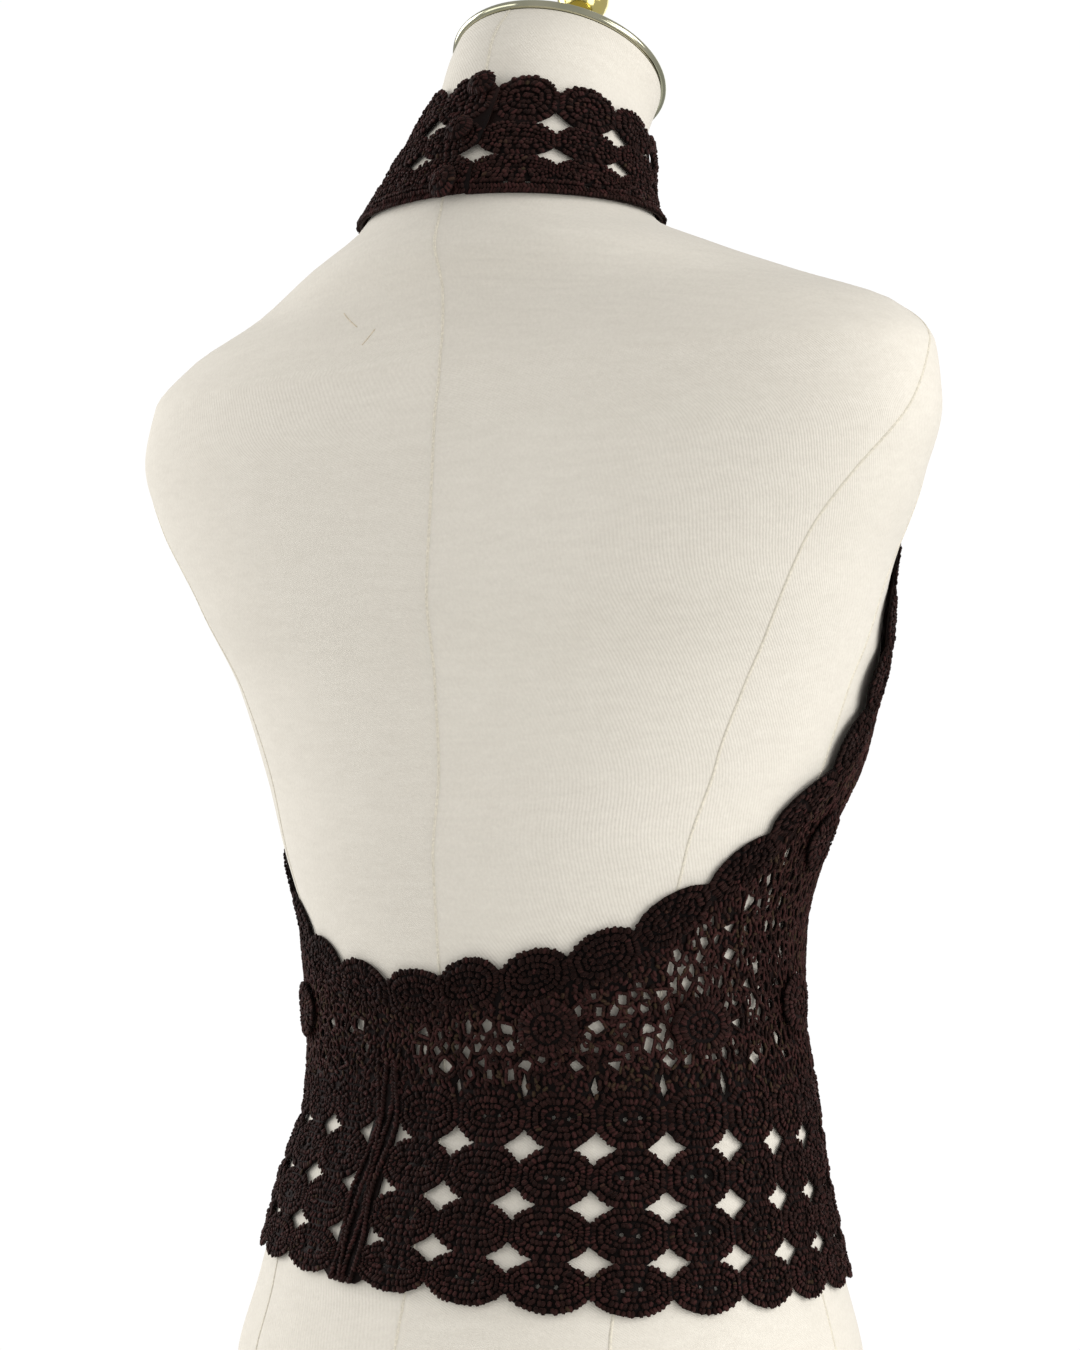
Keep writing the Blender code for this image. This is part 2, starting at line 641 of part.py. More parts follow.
class Cloth:
    """A panel drawn flat on the chart, as its outline, its gaps and its raised rounds."""

    def __init__(self, name, middle, clear):
        self.name = name
        self.middle = middle
        self.clear = clear
        self.points = []
        self.shares = []
        self.index = {}
        self.edges = []
        self.outline = None
        self.gaps = []

    def add(self, place, wall_share):
        """Adds one chart point, with its share of the wall's thickness, and gives its number."""
        share, height = place
        point = ((share - self.middle) * float(girth(height)), height)
        key = tuple(round(value, 6) for value in point)
        if key not in self.index:
            self.index[key] = len(self.points)
            self.points.append(point)
            self.shares.append(wall_share)
        return self.index[key]

    def line(self, places, wall_share, closed=True):
        """Adds a line that the triangles keep to, and gives its flat points."""
        ids = [self.add(place, wall_share) for place in places]
        ends = ids[1:] + ids[:1] if closed else ids[1:]
        self.edges += [(a, b) for a, b in zip(ids, ends) if a != b]
        return np.array([self.points[i] for i in ids])

    def set_outline(self, places):
        """Sets the closed line round the panel."""
        self.outline = self.line(places, EDGE_SHARE)

    def cut(self, places):
        """Cuts a gap through the wall along a closed line."""
        self.gaps.append(self.line(places, EDGE_SHARE))

    def motif(self, place_at, sides):
        """A raised round about a lower eye. place_at gives the chart point of a local (x, y)."""
        turns = [2 * math.pi * (i + 0.5) / sides for i in range(sides)]
        self.line([place_at(ROUND_AT * math.cos(t), ROUND_AT * math.sin(t)) for t in turns], ROUND_SHARE)
        self.add(place_at(0, 0), EYE_SHARE)

    def triangulate(self):
        """The panel's flat points, their wall shares and the triangles between its edges."""
        flat = [Vector(point) for point in self.points]
        found = delaunay_2d_cdt(flat, self.edges, [], 0, 1e-7, True)
        points = np.array([tuple(vertex) for vertex in found[0]])
        shares = np.array([self.shares[ids[0]] if ids else GROUND_SHARE for ids in found[3]])
        faces = np.array(found[2])
        middles = points[faces].mean(1)
        keep = inside(middles, self.outline)
        for gap in self.gaps:
            keep &= ~inside(middles, gap)
        used, faces = np.unique(faces[keep], return_inverse=True)
        return points[used], shares[used], faces.reshape(-1, 3)

    def build(self):
        """Lays the panel on the form, extrudes it and sets each outer point at its own height."""
        points, wall_shares, faces = self.triangulate()
        shares = self.middle + points[:, 0] / girth(points[:, 1])
        inner = wrap(shares, points[:, 1], self.clear)
        outer = wrap(shares, points[:, 1], self.clear + WALL * wall_shares)
        built = bmesh.new()
        number = built.verts.layers.int.new("number")
        vertices = [built.verts.new(place) for place in inner]
        for i, vertex in enumerate(vertices):
            vertex[number] = i
        for face in faces:
            built.faces.new([vertices[i] for i in face])
        extruded = bmesh.ops.extrude_face_region(built, geom=built.faces[:])
        for element in extruded["geom"]:
            if isinstance(element, bmesh.types.BMVert):
                element.co = outer[element[number]]
        bmesh.ops.recalc_face_normals(built, faces=built.faces[:])
        new_object(self.name, finish_mesh(self.name, built), YARN)


def add_hip_motifs(cloth, first, last):
    """The ovals of the hips and the gaps between them, from one column to another."""
    for column in range(first, last):
        if not is_seam(column):
            for row in range(ROWS):
                cloth.motif(partial(in_cell, hip_point, column, row), HIP_SIDES)
    for edge in range(first + 1, last):
        turns = range(0, 360, 45)
        if is_seam(edge):
            turns = range(90, 271, 45)
        elif is_seam(edge - 1):
            turns = range(270, 451, 45)
        for row in range(1, ROWS):
            cloth.cut(corner_gap(hip_point, edge, row, turns))


def add_border_motifs(cloth, first, last, side, turns=0):
    """The ovals of the border on one side, from one motif to another."""
    for motif in range(first, last):
        cloth.motif(partial(border_point, motif, side, turns), BORDER_SIDES)
        cloth.add(border_point(motif, side, turns, 0, -1), GROUND_SHARE)


def net_is_clear(share, height, discs):
    """Whether a gap here misses the border, the collar, the rosettes, the seam and the side cuts."""
    size = float(girth(height))
    place = np.array([[((share % 1) - 0.5) * size, height]])
    if height > COLLAR_BOTTOM - NET_FROM_COLLAR or not inside(place, TUBE_OUTLINE)[0]:
        return False
    if np.linalg.norm(ROUTE_BOTH_SIDES - place, axis=1).min() < NET_FROM_BORDER:
        return False
    apart = share_apart(discs[:, 0], share) * size
    if np.hypot(apart, discs[:, 1] - height).min() < ROSETTE_RADIUS + NET_GAP_HALF:
        return False
    if share_apart(SEAM_AT, share) * size < NET_FROM_SEAM:
        return False
    for side in (1, -1):
        near = share_apart(cut_share(side, height), share) * size < NET_FROM_CUT
        if near and height < cut_ends(side)[1][1] + BORDER_HALF:
            return False
    return True


def add_net_gaps(cloth, low_share, high_share):
    """The net's largest gaps, in uneven rows of three- and four-sided holes."""
    rng = np.random.default_rng(NET_SEED)
    discs = np.array(rosette_places())
    for low, high, apart, rise in NET_BANDS:
        for row, level in enumerate(np.arange(low, high, rise)):
            for column in range(-NET_REACH, NET_REACH + 1):
                shift = rng.uniform(-1, 1, 2) * NET_JITTER
                sides = 3 + rng.integers(0, 2)
                radii = NET_GAP_HALF * rng.uniform(*NET_WOBBLE, sides)
                angles = rng.uniform(0, 2 * math.pi) + 2 * math.pi * np.arange(sides) / sides
                height = level + shift[1]
                size = float(girth(height))
                share = cloth.middle + ((column + 0.5 * (row % 2)) * apart + shift[0]) / size
                if low_share < share < high_share and net_is_clear(share, height, discs):
                    across = share + NET_GAP_WIDER * radii * np.cos(angles) / size
                    cloth.cut(list(zip(across, height + radii * np.sin(angles))))


def add_rosette_grounds(cloth, low_share, high_share):
    """A ring and a middle under each rosette, so the wall follows the form there."""
    for share, height in moved(rosette_places(), 0) + moved(rosette_places(), 1):
        if low_share < share < high_share:
            size = float(girth(height))
            cloth.add((share, height), GROUND_SHARE)
            for step in range(ROSETTE_GROUND_POINTS):
                angle = 2 * math.pi * (step + 0.25) / ROSETTE_GROUND_POINTS
                across = ROSETTE_GROUND_AT * ROSETTE_RADIUS * math.cos(angle) / size
                rise = ROSETTE_GROUND_AT * ROSETTE_RADIUS * math.sin(angle)
                cloth.add((share + across, height + rise), GROUND_SHARE)


def build_back_panel():
    """The back of the tube, from one side cut to the other, with the seam left of the centre."""
    cloth = Cloth("back_panel", 1.0, CLOTH_CLEAR)
    first, last = BACK_COLUMNS
    half = 0.5 * GAP / float(girth(WAIST_HEIGHT))
    outline = hem_line(first, last)
    outline += moved(side_line(last, 1) + moved(cut_line(1), 1, -GAP / 2), -half)
    outline += moved(border_outline(0, CUT_MOTIF, 1), 1)[::-1]
    outline += moved([border_chord(0, 1, 1)], 1)
    outline += moved(border_outline(0, CUT_MOTIF, -1), 1)
    outline += moved(side_line(first, -1) + moved(cut_line(-1), 1, -GAP / 2), half)[::-1]
    cloth.set_outline(outline)
    add_hip_motifs(cloth, first, last)
    for side in (1, -1):
        add_border_motifs(cloth, 0, CUT_MOTIF, side, 1)
    ridge = [hip_point(COLUMNS + 0.5, row / 2 + SEAM_RIDGE_FROM) for row in range(2 * ROWS)]
    cloth.line(ridge, ROUND_SHARE, closed=False)
    add_net_gaps(cloth, column_share(first) - NET_OVER, column_share(last) + NET_OVER)
    add_rosette_grounds(cloth, column_share(first), column_share(last))
    cloth.build()


def build_front_panel():
    """The front of the tube and the bib above it, up to the collar."""
    cloth = Cloth("front_panel", 0.5, CLOTH_CLEAR)
    first, last = FRONT_COLUMNS
    half = 0.5 * GAP / float(girth(WAIST_HEIGHT))
    outline = hem_line(first, last)
    outline += moved(side_line(last, 1) + moved(cut_line(-1), 1, GAP / 2), -half)
    outline += moved(border_outline(CUT_MOTIF, BORDER_MOTIFS, -1), 1)
    left, right = moved([border_chord(BORDER_MOTIFS, 1, -1)], 1)[0], border_chord(BORDER_MOTIFS, 1, 1)
    outline.append(left)
    for share in np.linspace(left[0], right[0], BIB_TOP_POINTS)[1:-1]:
        outline.append((share, collar_bottom(share) - 2 * GAP))
    outline.append(right)
    outline += border_outline(CUT_MOTIF, BORDER_MOTIFS, 1)[::-1]
    outline += moved(side_line(first, -1) + moved(cut_line(1), 0, GAP / 2), half)[::-1]
    cloth.set_outline(outline)
    add_hip_motifs(cloth, first, last)
    add_border_motifs(cloth, CUT_MOTIF, BORDER_MOTIFS, 1)
    add_border_motifs(cloth, CUT_MOTIF, BORDER_MOTIFS, -1, 1)
    add_net_gaps(cloth, column_share(first) - NET_OVER, column_share(last) + NET_OVER)
    add_rosette_grounds(cloth, column_share(first), column_share(last))
    cloth.build()


def collar_point(column, row):
    """A chart point of the collar: columns from the closure, rows from the rim's top.

    The first column widens downwards, by the square of the drop, and the others give way to it.
    """
    share = COLLAR_CLOSURE + column / COLLAR_COLUMNS
    edges = (collar_bottom(share) + COLLAR_RIM, *COLLAR_EDGES)
    i = min(max(math.floor(row), 0), len(COLLAR_EDGES) - 1)
    height = edges[i] + (row - i) * (edges[i + 1] - edges[i])
    drop = max(0, (COLLAR_EDGES[-1] - height) / (COLLAR_EDGES[-1] - COLLAR_EDGES[0]))
    give = min(column, (COLLAR_COLUMNS - column) / (COLLAR_COLUMNS - 1))
    return share + COLLAR_FLARE * min(drop, 1) ** 2 * give, height


def collar_foot(column):
    """The chart point on the collar's lower edge."""
    share = collar_point(column, 0)[0]
    return share, collar_bottom(share)


def build_collar(name, first, last):
    """One half of the collar: three rows of ovals over a plain rim."""
    cloth = Cloth(name, COLLAR_CLOSURE + (first + last) / 2 / COLLAR_COLUMNS, COLLAR_CLEAR)
    half = 0.5 * GAP / float(girth(COLLAR_EDGES[0]))
    top = len(COLLAR_EDGES)
    outline = [collar_foot(first)]
    for column in range(first, last):
        outline += [collar_foot(column + 0.5), collar_foot(column + 1)]
    outline += [collar_point(last, row) for row in (0, 1, 2, top - GAP_TIP / 2)]
    for column in reversed(range(first, last)):
        outline += scallop(collar_point, column, top - 1, UPPER_SCALLOP[::-1])
        if column > first:
            outline.append(collar_point(column, top - GAP_TIP / 2))
    outline += [collar_point(first, row) for row in (top - GAP_TIP / 2, 2, 1, 0)]
    cloth.set_outline([(s + (half if s < cloth.middle else -half), z) for s, z in outline])
    for column in range(first, last):
        for row in range(top):
            cloth.motif(partial(in_cell, collar_point, column, row), COLLAR_SIDES)
    for edge in range(first + 1, last):
        for row in range(1, top):
            cloth.cut(corner_gap(collar_point, edge, row, range(0, 360, 45)))
    cloth.build()


def build_disc(name, place, radius, clear, thick, eye):
    """A round applique that follows the form, with a wall that is lower at its rim and its eye."""
    share, height = place
    angles = 2 * math.pi * np.arange(DISC_SIDES) / DISC_SIDES
    reach = np.concatenate([[0.0], np.repeat([DISC_SHOULDER[0], DISC_RIM[0]], DISC_SIDES)]) * radius
    turns = np.concatenate([[0.0], angles, angles])
    wall_shares = [eye] + [DISC_SHOULDER[1]] * DISC_SIDES + [DISC_RIM[1]] * DISC_SIDES
    points = wrap(share + reach * np.cos(turns) / float(girth(height)), height + reach * np.sin(turns), clear)
    faces = []
    for i in range(1, DISC_SIDES + 1):
        j = i % DISC_SIDES + 1
        faces.append((0, i, j))
        faces.append((i, i + DISC_SIDES, j + DISC_SIDES, j))
    mesh = bpy.data.meshes.new(name)
    mesh.from_pydata(points.tolist(), [], faces)
    mesh.shade_smooth()
    disc = new_object(name, mesh, YARN)
    group = disc.vertex_groups.new(name="wall")
    for i, wall_share in enumerate(wall_shares):
        group.add([i], wall_share, "REPLACE")
    wall = disc.modifiers.new("wall", "SOLIDIFY")
    wall.thickness = thick
    wall.offset = 1
    wall.vertex_group = "wall"


build_form()
build_plate()
build_tube()
build_finial()
build_back_panel()
build_front_panel()
build_collar("collar_right", 0, COLLAR_FRONT_COLUMN)
build_collar("collar_left", COLLAR_FRONT_COLUMN, COLLAR_COLUMNS)
for number, place in enumerate(rosette_places(), start=1):
    build_disc(f"rosette_{number:02d}", place, ROSETTE_RADIUS, ROSETTE_CLEAR, ROSETTE_THICK, ROSETTE_EYE)
for number, place in enumerate(BUTTONS, start=1):
    build_disc(f"collar_button_{number}", place, BUTTON_RADIUS, BUTTON_CLEAR, BUTTON_THICK, DISC_SHOULDER[1])
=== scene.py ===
"""A crochet halter top on a limbless dress form, finished down to its stitches.

Every piece of the top is drawn flat on the form's chart, as a share of the girth counted from the centre back
towards the wearer's right, and a height. The chart lays it on the form. Crochet work is made of grains: short
tapered lengths of yarn, placed in rounds, rows and cords.
"""

import logging
import math
from dataclasses import dataclass, fields
from enum import Enum
from functools import reduce
from itertools import product
from typing import Callable, Iterable, Sequence

import bpy
import numpy as np
from mathutils import Matrix, Vector
from mathutils.geometry import delaunay_2d_cdt


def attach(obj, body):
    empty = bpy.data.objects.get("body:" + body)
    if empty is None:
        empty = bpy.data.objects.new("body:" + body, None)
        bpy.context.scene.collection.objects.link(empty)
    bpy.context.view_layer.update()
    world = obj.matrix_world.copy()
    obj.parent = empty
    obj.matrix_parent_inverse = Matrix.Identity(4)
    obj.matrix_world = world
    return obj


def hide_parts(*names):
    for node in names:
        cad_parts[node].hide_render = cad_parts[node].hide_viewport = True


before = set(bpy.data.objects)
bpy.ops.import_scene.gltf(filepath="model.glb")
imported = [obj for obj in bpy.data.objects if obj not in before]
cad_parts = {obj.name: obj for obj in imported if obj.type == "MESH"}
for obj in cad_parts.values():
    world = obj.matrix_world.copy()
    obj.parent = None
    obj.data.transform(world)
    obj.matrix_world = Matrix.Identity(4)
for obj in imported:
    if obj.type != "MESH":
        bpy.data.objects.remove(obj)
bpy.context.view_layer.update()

LOG = logging.getLogger("crochet_top")
BODY = "root"
GAP = 0.0003
Array = np.ndarray
Number = Array | float
Pair = tuple[float, float]
Colour = tuple[float, float, float]
Socket = bpy.types.NodeSocket
Lattice = Callable[[Array, Array], Array]


def table(names: str, *rows: tuple[float, ...]) -> dict[str, Array]:
    """A table's columns by name."""
    return dict(zip(names.split(), np.array(rows).T))


def turns(count: int) -> Array:
    """The angles of evenly spread points on a circle."""
    return np.arange(count) * 2 * math.pi / count


def unit(ways: Array) -> Array:
    """Directions at length one."""
    return ways / np.linalg.norm(ways, axis=-1, keepdims=True)


# The form, ring by ring. Lean is how much a ring rises for each metre towards the back.
SECTIONS = table(
    "height half_width back front middle_y power lean",
    (0.000, 0.1500, 0.1110, 0.1120, 0.0090, 2.25, 0.00),
    (0.040, 0.1525, 0.1210, 0.1130, 0.0085, 2.25, 0.00),
    (0.080, 0.1475, 0.1230, 0.1100, 0.0075, 2.25, 0.00),
    (0.119, 0.1380, 0.1130, 0.1050, 0.0055, 2.20, 0.00),
    (0.159, 0.1295, 0.0990, 0.0980, 0.0030, 2.20, 0.00),
    (0.199, 0.1215, 0.0880, 0.0930, -0.0045, 2.15, 0.00),
    (0.234, 0.1180, 0.0865, 0.0905, -0.0035, 2.15, 0.00),
    (0.269, 0.1195, 0.0890, 0.0935, -0.0035, 2.15, 0.00),
    (0.308, 0.1310, 0.0905, 0.1015, -0.0035, 2.15, 0.00),
    (0.348, 0.1480, 0.0895, 0.1135, -0.0090, 2.15, 0.00),
    (0.388, 0.1610, 0.0875, 0.1185, -0.0055, 2.15, 0.00),
    (0.428, 0.1770, 0.0840, 0.1080, 0.0050, 2.20, 0.00),
    (0.468, 0.1985, 0.0780, 0.0910, 0.0075, 2.30, 0.00),
    (0.502, 0.2100, 0.0730, 0.0780, 0.0060, 2.40, 0.00),
    (0.527, 0.2070, 0.0695, 0.0695, 0.0020, 2.40, 0.00),
    (0.547, 0.1875, 0.0695, 0.0665, -0.0015, 2.20, 0.00),
    (0.564, 0.1440, 0.0660, 0.0600, 0.0030, 2.00, 0.02),
    (0.579, 0.1060, 0.0650, 0.0570, 0.0095, 2.00, 0.06),
    (0.594, 0.0735, 0.0585, 0.0535, 0.0085, 2.00, 0.12),
    (0.612, 0.0630, 0.0560, 0.0540, 0.0010, 2.00, 0.18),
    (0.637, 0.0550, 0.0520, 0.0520, -0.0125, 2.00, 0.25),
    (0.654, 0.0500, 0.0485, 0.0485, -0.0205, 2.00, 0.37),
    (0.672, 0.0480, 0.0465, 0.0465, -0.0260, 2.00, 0.50),
    (0.696, 0.0510, 0.0405, 0.0405, -0.0360, 2.00, 0.62),
)
NECK_TOP = float(SECTIONS["height"][-1])

# The hips' ovals. The strip beside the seam closes each round, as one narrow column.
COLUMNS = 24
LAP = COLUMNS + 1
ROWS = 4
SEAM_AT = -0.046
SEAM_SHARE = 0.020
SEAM_FOOT = -0.02
MOTIF_SWELL = 0.1673
MOTIF_PHASE = 0.6135
ROW_EDGES = (0.1192, 0.1391, 0.1607, 0.1830, 0.2076)
BACK_COLUMNS = (19, 32)
FRONT_COLUMNS = (7, 19)

# How the hem hangs off level and is drawn round, between two heights where that starts and ends.
HANG_TILT = 0.0092
HANG_LEFT = 0.2051
HANG_WAVE = 0.0023
HANG_WAVE_AT = 0.0847
HANG_BUNCH = 0.0052
HANG_BUNCH_AT = 0.0255
HANG_STARTS = 0.115
HANG_ENDS = 0.240

# An oval is a circle about its cell, flattened within some degrees of where it touches its neighbours.
FLAT_DEGREES = 22.5
OVAL = 1 / math.cos(math.radians(FLAT_DEGREES))
CHORD = math.tan(math.radians(FLAT_DEGREES))
GAP_TIP = 1 - CHORD

# The shell's edges lie this far inside the ovals' edges, so that the stitches' ends show past them.
SHELL_EDGE = 0.955

# The points along a gap's quarter, a scallop of the collar and of the hem, and the bib's top.
STAR_STEPS = 5
SCALLOP_STEPS = 9
HEM_STEPS = 11
BIB_STEPS = 17

# A ring of points at this share of an oval lets its shell bend with the form.
INNER_RING = 0.6

# The centreline of the border along the back's top edge and both armholes. Lead is the way to the
# centre front.
BORDER = table(
    "lead height",
    *((0.335, 0.2505), (0.3125, 0.2508), (0.276, 0.257), (0.2495, 0.2672), (0.2273, 0.287), (0.2145, 0.3015)),
    *((0.2085, 0.3176), (0.206, 0.3368), (0.200, 0.3581), (0.1950, 0.3820), (0.1910, 0.402), (0.1800, 0.422)),
    *((0.162, 0.444), (0.141, 0.468), (0.118, 0.496), (0.096, 0.526), (0.078, 0.555), (0.066, 0.578)),
    (0.062, 0.596),
)
BORDER_MOTIFS = 17
BORDER_GROWS = 1.035
BORDER_SETTLES = 4.0
BORDER_HALF = 0.0115
BORDER_TILT = 0.0035
BORDER_TILT_OVER = 0.02
BORDER_TILT_ENDS = 0.25
CUT_MOTIF = 8
CUT_STEPS = 12
UPPER_TURNS = (146, 128, 110, 90, 70, 52, 34)

# The rosettes: shares and heights round the waist, and rows up the front, as metres from the centre front.
ROSETTE_RADIUS = 0.0130
WAIST_ROSETTES = (
    *((0.078, 0.2340), (0.177, 0.2325), (0.267, 0.2385), (0.352, 0.2365), (0.433, 0.2355)),
    *((0.519, 0.2355), (0.605, 0.2355), (0.691, 0.2360), (0.777, 0.2375), (0.848, 0.2390)),
)
FRONT_ROSETTES = {
    0.312: (-0.1713, -0.0595, 0.0595, 0.1713),
    0.392: (-0.119, 0.0, 0.119),
    0.472: (-0.0595, 0.0595),
    0.548: (0.0,),
}

# The collar: rows of ovals over a plain rim, open at its closure. Buttons are shares and heights.
COLLAR_COLUMNS = 12
COLLAR_FRONT_COLUMN = 6
COLLAR_CLOSURE = 0.036
COLLAR_BOTTOM = 0.5955
COLLAR_DIP = 0.001
COLLAR_RIM = 0.004
COLLAR_FLARE = 0.015
COLLAR_EDGES = (0.6118, 0.6286, 0.6522)
BUTTON_RADIUS = 0.0062
BUTTONS = ((0.0158, 0.6460), (0.0095, 0.6230), (0.0105, 0.5995))

# How far the cloth stands off the form: the shell's outer face, and the middle of the grains on it.
SHELL_FACE = 0.0024
SHELL_THICK = 0.0009
GRAIN_CLEAR = 0.0031
GRAIN_HALF = 0.0006


class Slot(Enum):
    """The material slots that the record names."""

    COVER = "form_cover"
    METAL = "neck_metal"
    YARN = "crochet_yarn"


class Held(Enum):
    """How a sheet of cloth is held."""

    STRETCHED = "stretched"


def monotone(table_x: Array, table_y: Array, x: Array) -> Array:
    """A smooth curve through a table that never overshoots it.

    Between two rows the curve is the cubic with a slope at each row. That slope is the weighted harmonic mean
    of the two secants beside the row, or zero where they turn.

    Args:
        table_x: The table's rising places.
        table_y: The values there.
        x: Where to read the curve.

    Returns:
        The curve's values, in the shape of x.
    """
    step = np.diff(table_x)
    secant = np.diff(table_y) / step
    slope = np.concatenate([secant[:1], np.zeros(len(secant) - 1), secant[-1:]])
    same = secant[:-1] * secant[1:] > 0
    first = 2 * step[1:] + step[:-1]
    second = step[1:] + 2 * step[:-1]
    low, high = np.where(same, secant[:-1], 1), np.where(same, secant[1:], 1)
    slope[1:-1] = np.where(same, (first + second) / (first / low + second / high), 0)
    x = np.clip(x, table_x[0], table_x[-1])
    i = np.clip(np.searchsorted(table_x, x, side="right") - 1, 0, len(step) - 1)
    t = (x - table_x[i]) / step[i]
    rise = (1 + 2 * t) * (1 - t) ** 2 * table_y[i] + t * t * (3 - 2 * t) * table_y[i + 1]
    return rise + step[i] * t * (1 - t) * ((1 - t) * slope[i] - t * slope[i + 1])


class FormChart:
    """The form's surface, and the chart of shares and heights that the top is drawn on."""

    FINE = 2301
    RINGS = 231
    SHARES = 721
    ANGLES = 1441
    SMALL = 1e-3

    def __init__(self, sections: dict[str, Array]) -> None:
        """Measures the girth of each ring, and the angle at each share of it.

        Args:
            sections: The form's rings.
        """
        self.top = float(sections["height"][-1])
        self.fine = np.linspace(0, self.top, self.FINE)
        rows = sections["height"]
        self.curves = {name: monotone(rows, column, self.fine) for name, column in sections.items()}
        self.heights = np.linspace(0, self.top, self.RINGS)
        self.shares = np.linspace(0, 1, self.SHARES)
        angles = np.linspace(0, 2 * math.pi, self.ANGLES)
        rings = self.point(angles[None, :], self.heights[:, None])
        steps = np.linalg.norm(np.diff(rings, axis=1), axis=-1)
        along = np.concatenate([np.zeros((self.RINGS, 1)), np.cumsum(steps, axis=1)], axis=1)
        self.girths = along[:, -1]
        self.angles = np.stack([np.interp(self.shares, ring / ring[-1], angles) for ring in along])

    def section(self, column: str, height: Number) -> Array:
        """One column of the rings' table at any height."""
        return np.interp(height, self.fine, self.curves[column])

    def point(self, angle: Array, height: Array) -> Array:
        """Points of the form.

        Each ring is a superellipse: x is the half width times sine to the power 2 / n, and y the back's or
        the front's depth times cosine to that power, both with the sign kept. A ring rises by lean times y.

        Args:
            angle: Radians from the centre back towards the wearer's right.
            height: Ring heights in metres.

        Returns:
            Points, with x, y and z along the last axis.
        """
        angle, height = np.broadcast_arrays(np.asarray(angle, float), np.asarray(height, float))
        sine, cosine = np.sin(angle), np.cos(angle)
        bend = 2 / self.section("power", height)
        depth = np.where(cosine > 0, self.section("back", height), self.section("front", height))
        x = -self.section("half_width", height) * np.sign(sine) * np.abs(sine) ** bend
        y = depth * np.sign(cosine) * np.abs(cosine) ** bend + self.section("middle_y", height)
        return np.stack([x, y, height + self.section("lean", height) * y], axis=-1)

    def normal(self, angle: Array, height: Array) -> Array:
        """The form's unit normals: cross products of two short steps, one round the form and one up it."""
        across = self.point(angle + self.SMALL, height) - self.point(angle - self.SMALL, height)
        up = self.point(angle, height + self.SMALL) - self.point(angle, height - self.SMALL)
        return unit(np.cross(across, up))

    def girth(self, height: Number) -> Array:
        """The distance round the form at a height."""
        return np.interp(height, self.heights, self.girths)

    def angle_of(self, share: Array, height: Array) -> Array:
        """The angle at a share of the girth, read from the measured rings by interpolation."""
        laps = np.floor(share)
        across = (share - laps) * (self.SHARES - 1)
        up = np.clip(height / self.top, 0, 1) * (self.RINGS - 1)
        i = np.minimum(across.astype(int), self.SHARES - 2)
        j = np.minimum(up.astype(int), self.RINGS - 2)
        a, b = across - i, up - j
        low = self.angles[j, i] * (1 - a) + self.angles[j, i + 1] * a
        high = self.angles[j + 1, i] * (1 - a) + self.angles[j + 1, i + 1] * a
        return low * (1 - b) + high * b + laps * 2 * math.pi

    def wrap(self, places: Array, clear: Number) -> Array:
        """Lays chart places on the form: each goes to its point plus the normal times the clear distance.

        Args:
            places: Shares and heights along the last axis.
            clear: Distance off the form, one number or one for each place.

        Returns:
            Points in metres.
        """
        height = places[..., 1]
        angle = self.angle_of(places[..., 0], height)
        clear = np.broadcast_to(clear, height.shape)[..., None]
        return self.point(angle, height) + self.normal(angle, height) * clear

    def shift(self, places: Array, across: Number, rise: Number) -> Array:
        """Chart places moved by distances in metres, round the form and up it."""
        share = places[..., 0] + across / self.girth(places[..., 1])
        return np.stack([share, places[..., 1] + rise], axis=-1)

    def ring(self, place: Array, radii: Number, angles: Array, wide: float = 1.0, tall: float = 1.0) -> Array:
        """Chart places about a place, at some distances and angles, stretched across and up."""
        middle = np.broadcast_to(place, (len(angles), 2))
        return self.shift(middle, wide * radii * np.cos(angles), tall * radii * np.sin(angles))

    def steps(self, start: Array, end: Array) -> Array:
        """The way from chart places to others, in metres round the form and up it."""
        middle = (start[..., 1] + end[..., 1]) / 2
        across = (end[..., 0] - start[..., 0]) * self.girth(middle)
        return np.stack([across, end[..., 1] - start[..., 1]], axis=-1)


CHART = FormChart(SECTIONS)


def column_share(column: Array) -> Array:
    """The share of the girth at a column's edge. Columns swell as a sine, widest at the back and front."""
    column = np.asarray(column, float)
    lap = np.floor(column / LAP)
    step = column - lap * LAP
    turn = np.minimum(step, COLUMNS) / COLUMNS
    wave = np.sin(4 * math.pi * turn - MOTIF_PHASE) + math.sin(MOTIF_PHASE)
    motifs = turn + MOTIF_SWELL / (4 * math.pi) * wave
    strip = np.maximum(step - COLUMNS, 0)
    return lap + SEAM_AT + SEAM_SHARE / 2 + (1 - SEAM_SHARE) * motifs + SEAM_SHARE * strip


def hang(share: Array) -> Array:
    """How far the hem is drawn round and how far it hangs off level: sines and cosines of the share."""
    tilt = HANG_TILT * np.cos(2 * math.pi * (share + HANG_LEFT))
    wave = HANG_WAVE * np.cos(4 * math.pi * (share - HANG_WAVE_AT))
    return np.stack([HANG_BUNCH * np.sin(2 * math.pi * (share - HANG_BUNCH_AT)), tilt - wave], axis=-1)


def hip_place(column: Number, row: Number) -> Array:
    """Chart places of the hips' lattice, which hangs less the higher it is."""
    column, row = np.broadcast_arrays(np.asarray(column, float), np.asarray(row, float))
    share = column_share(column)
    level = np.interp(row, range(ROWS + 1), ROW_EDGES)
    level = level + np.minimum(row, 0) * (ROW_EDGES[1] - ROW_EDGES[0])
    level = level + np.maximum(row - ROWS, 0) * (ROW_EDGES[-1] - ROW_EDGES[-2])
    fade = np.clip((HANG_ENDS - level) / (HANG_ENDS - HANG_STARTS), 0, 1)
    return np.stack([share, level], axis=-1) + fade[..., None] * hang(share)


def is_seam(column: int) -> bool:
    """Whether a column is the narrow strip of the seam."""
    return column % LAP == COLUMNS


def collar_bottom(share: Array) -> Array:
    """The height of the collar's lower edge, which dips over the shoulders by a squared sine."""
    return COLLAR_BOTTOM - COLLAR_DIP * np.sin(2 * math.pi * np.asarray(share)) ** 2


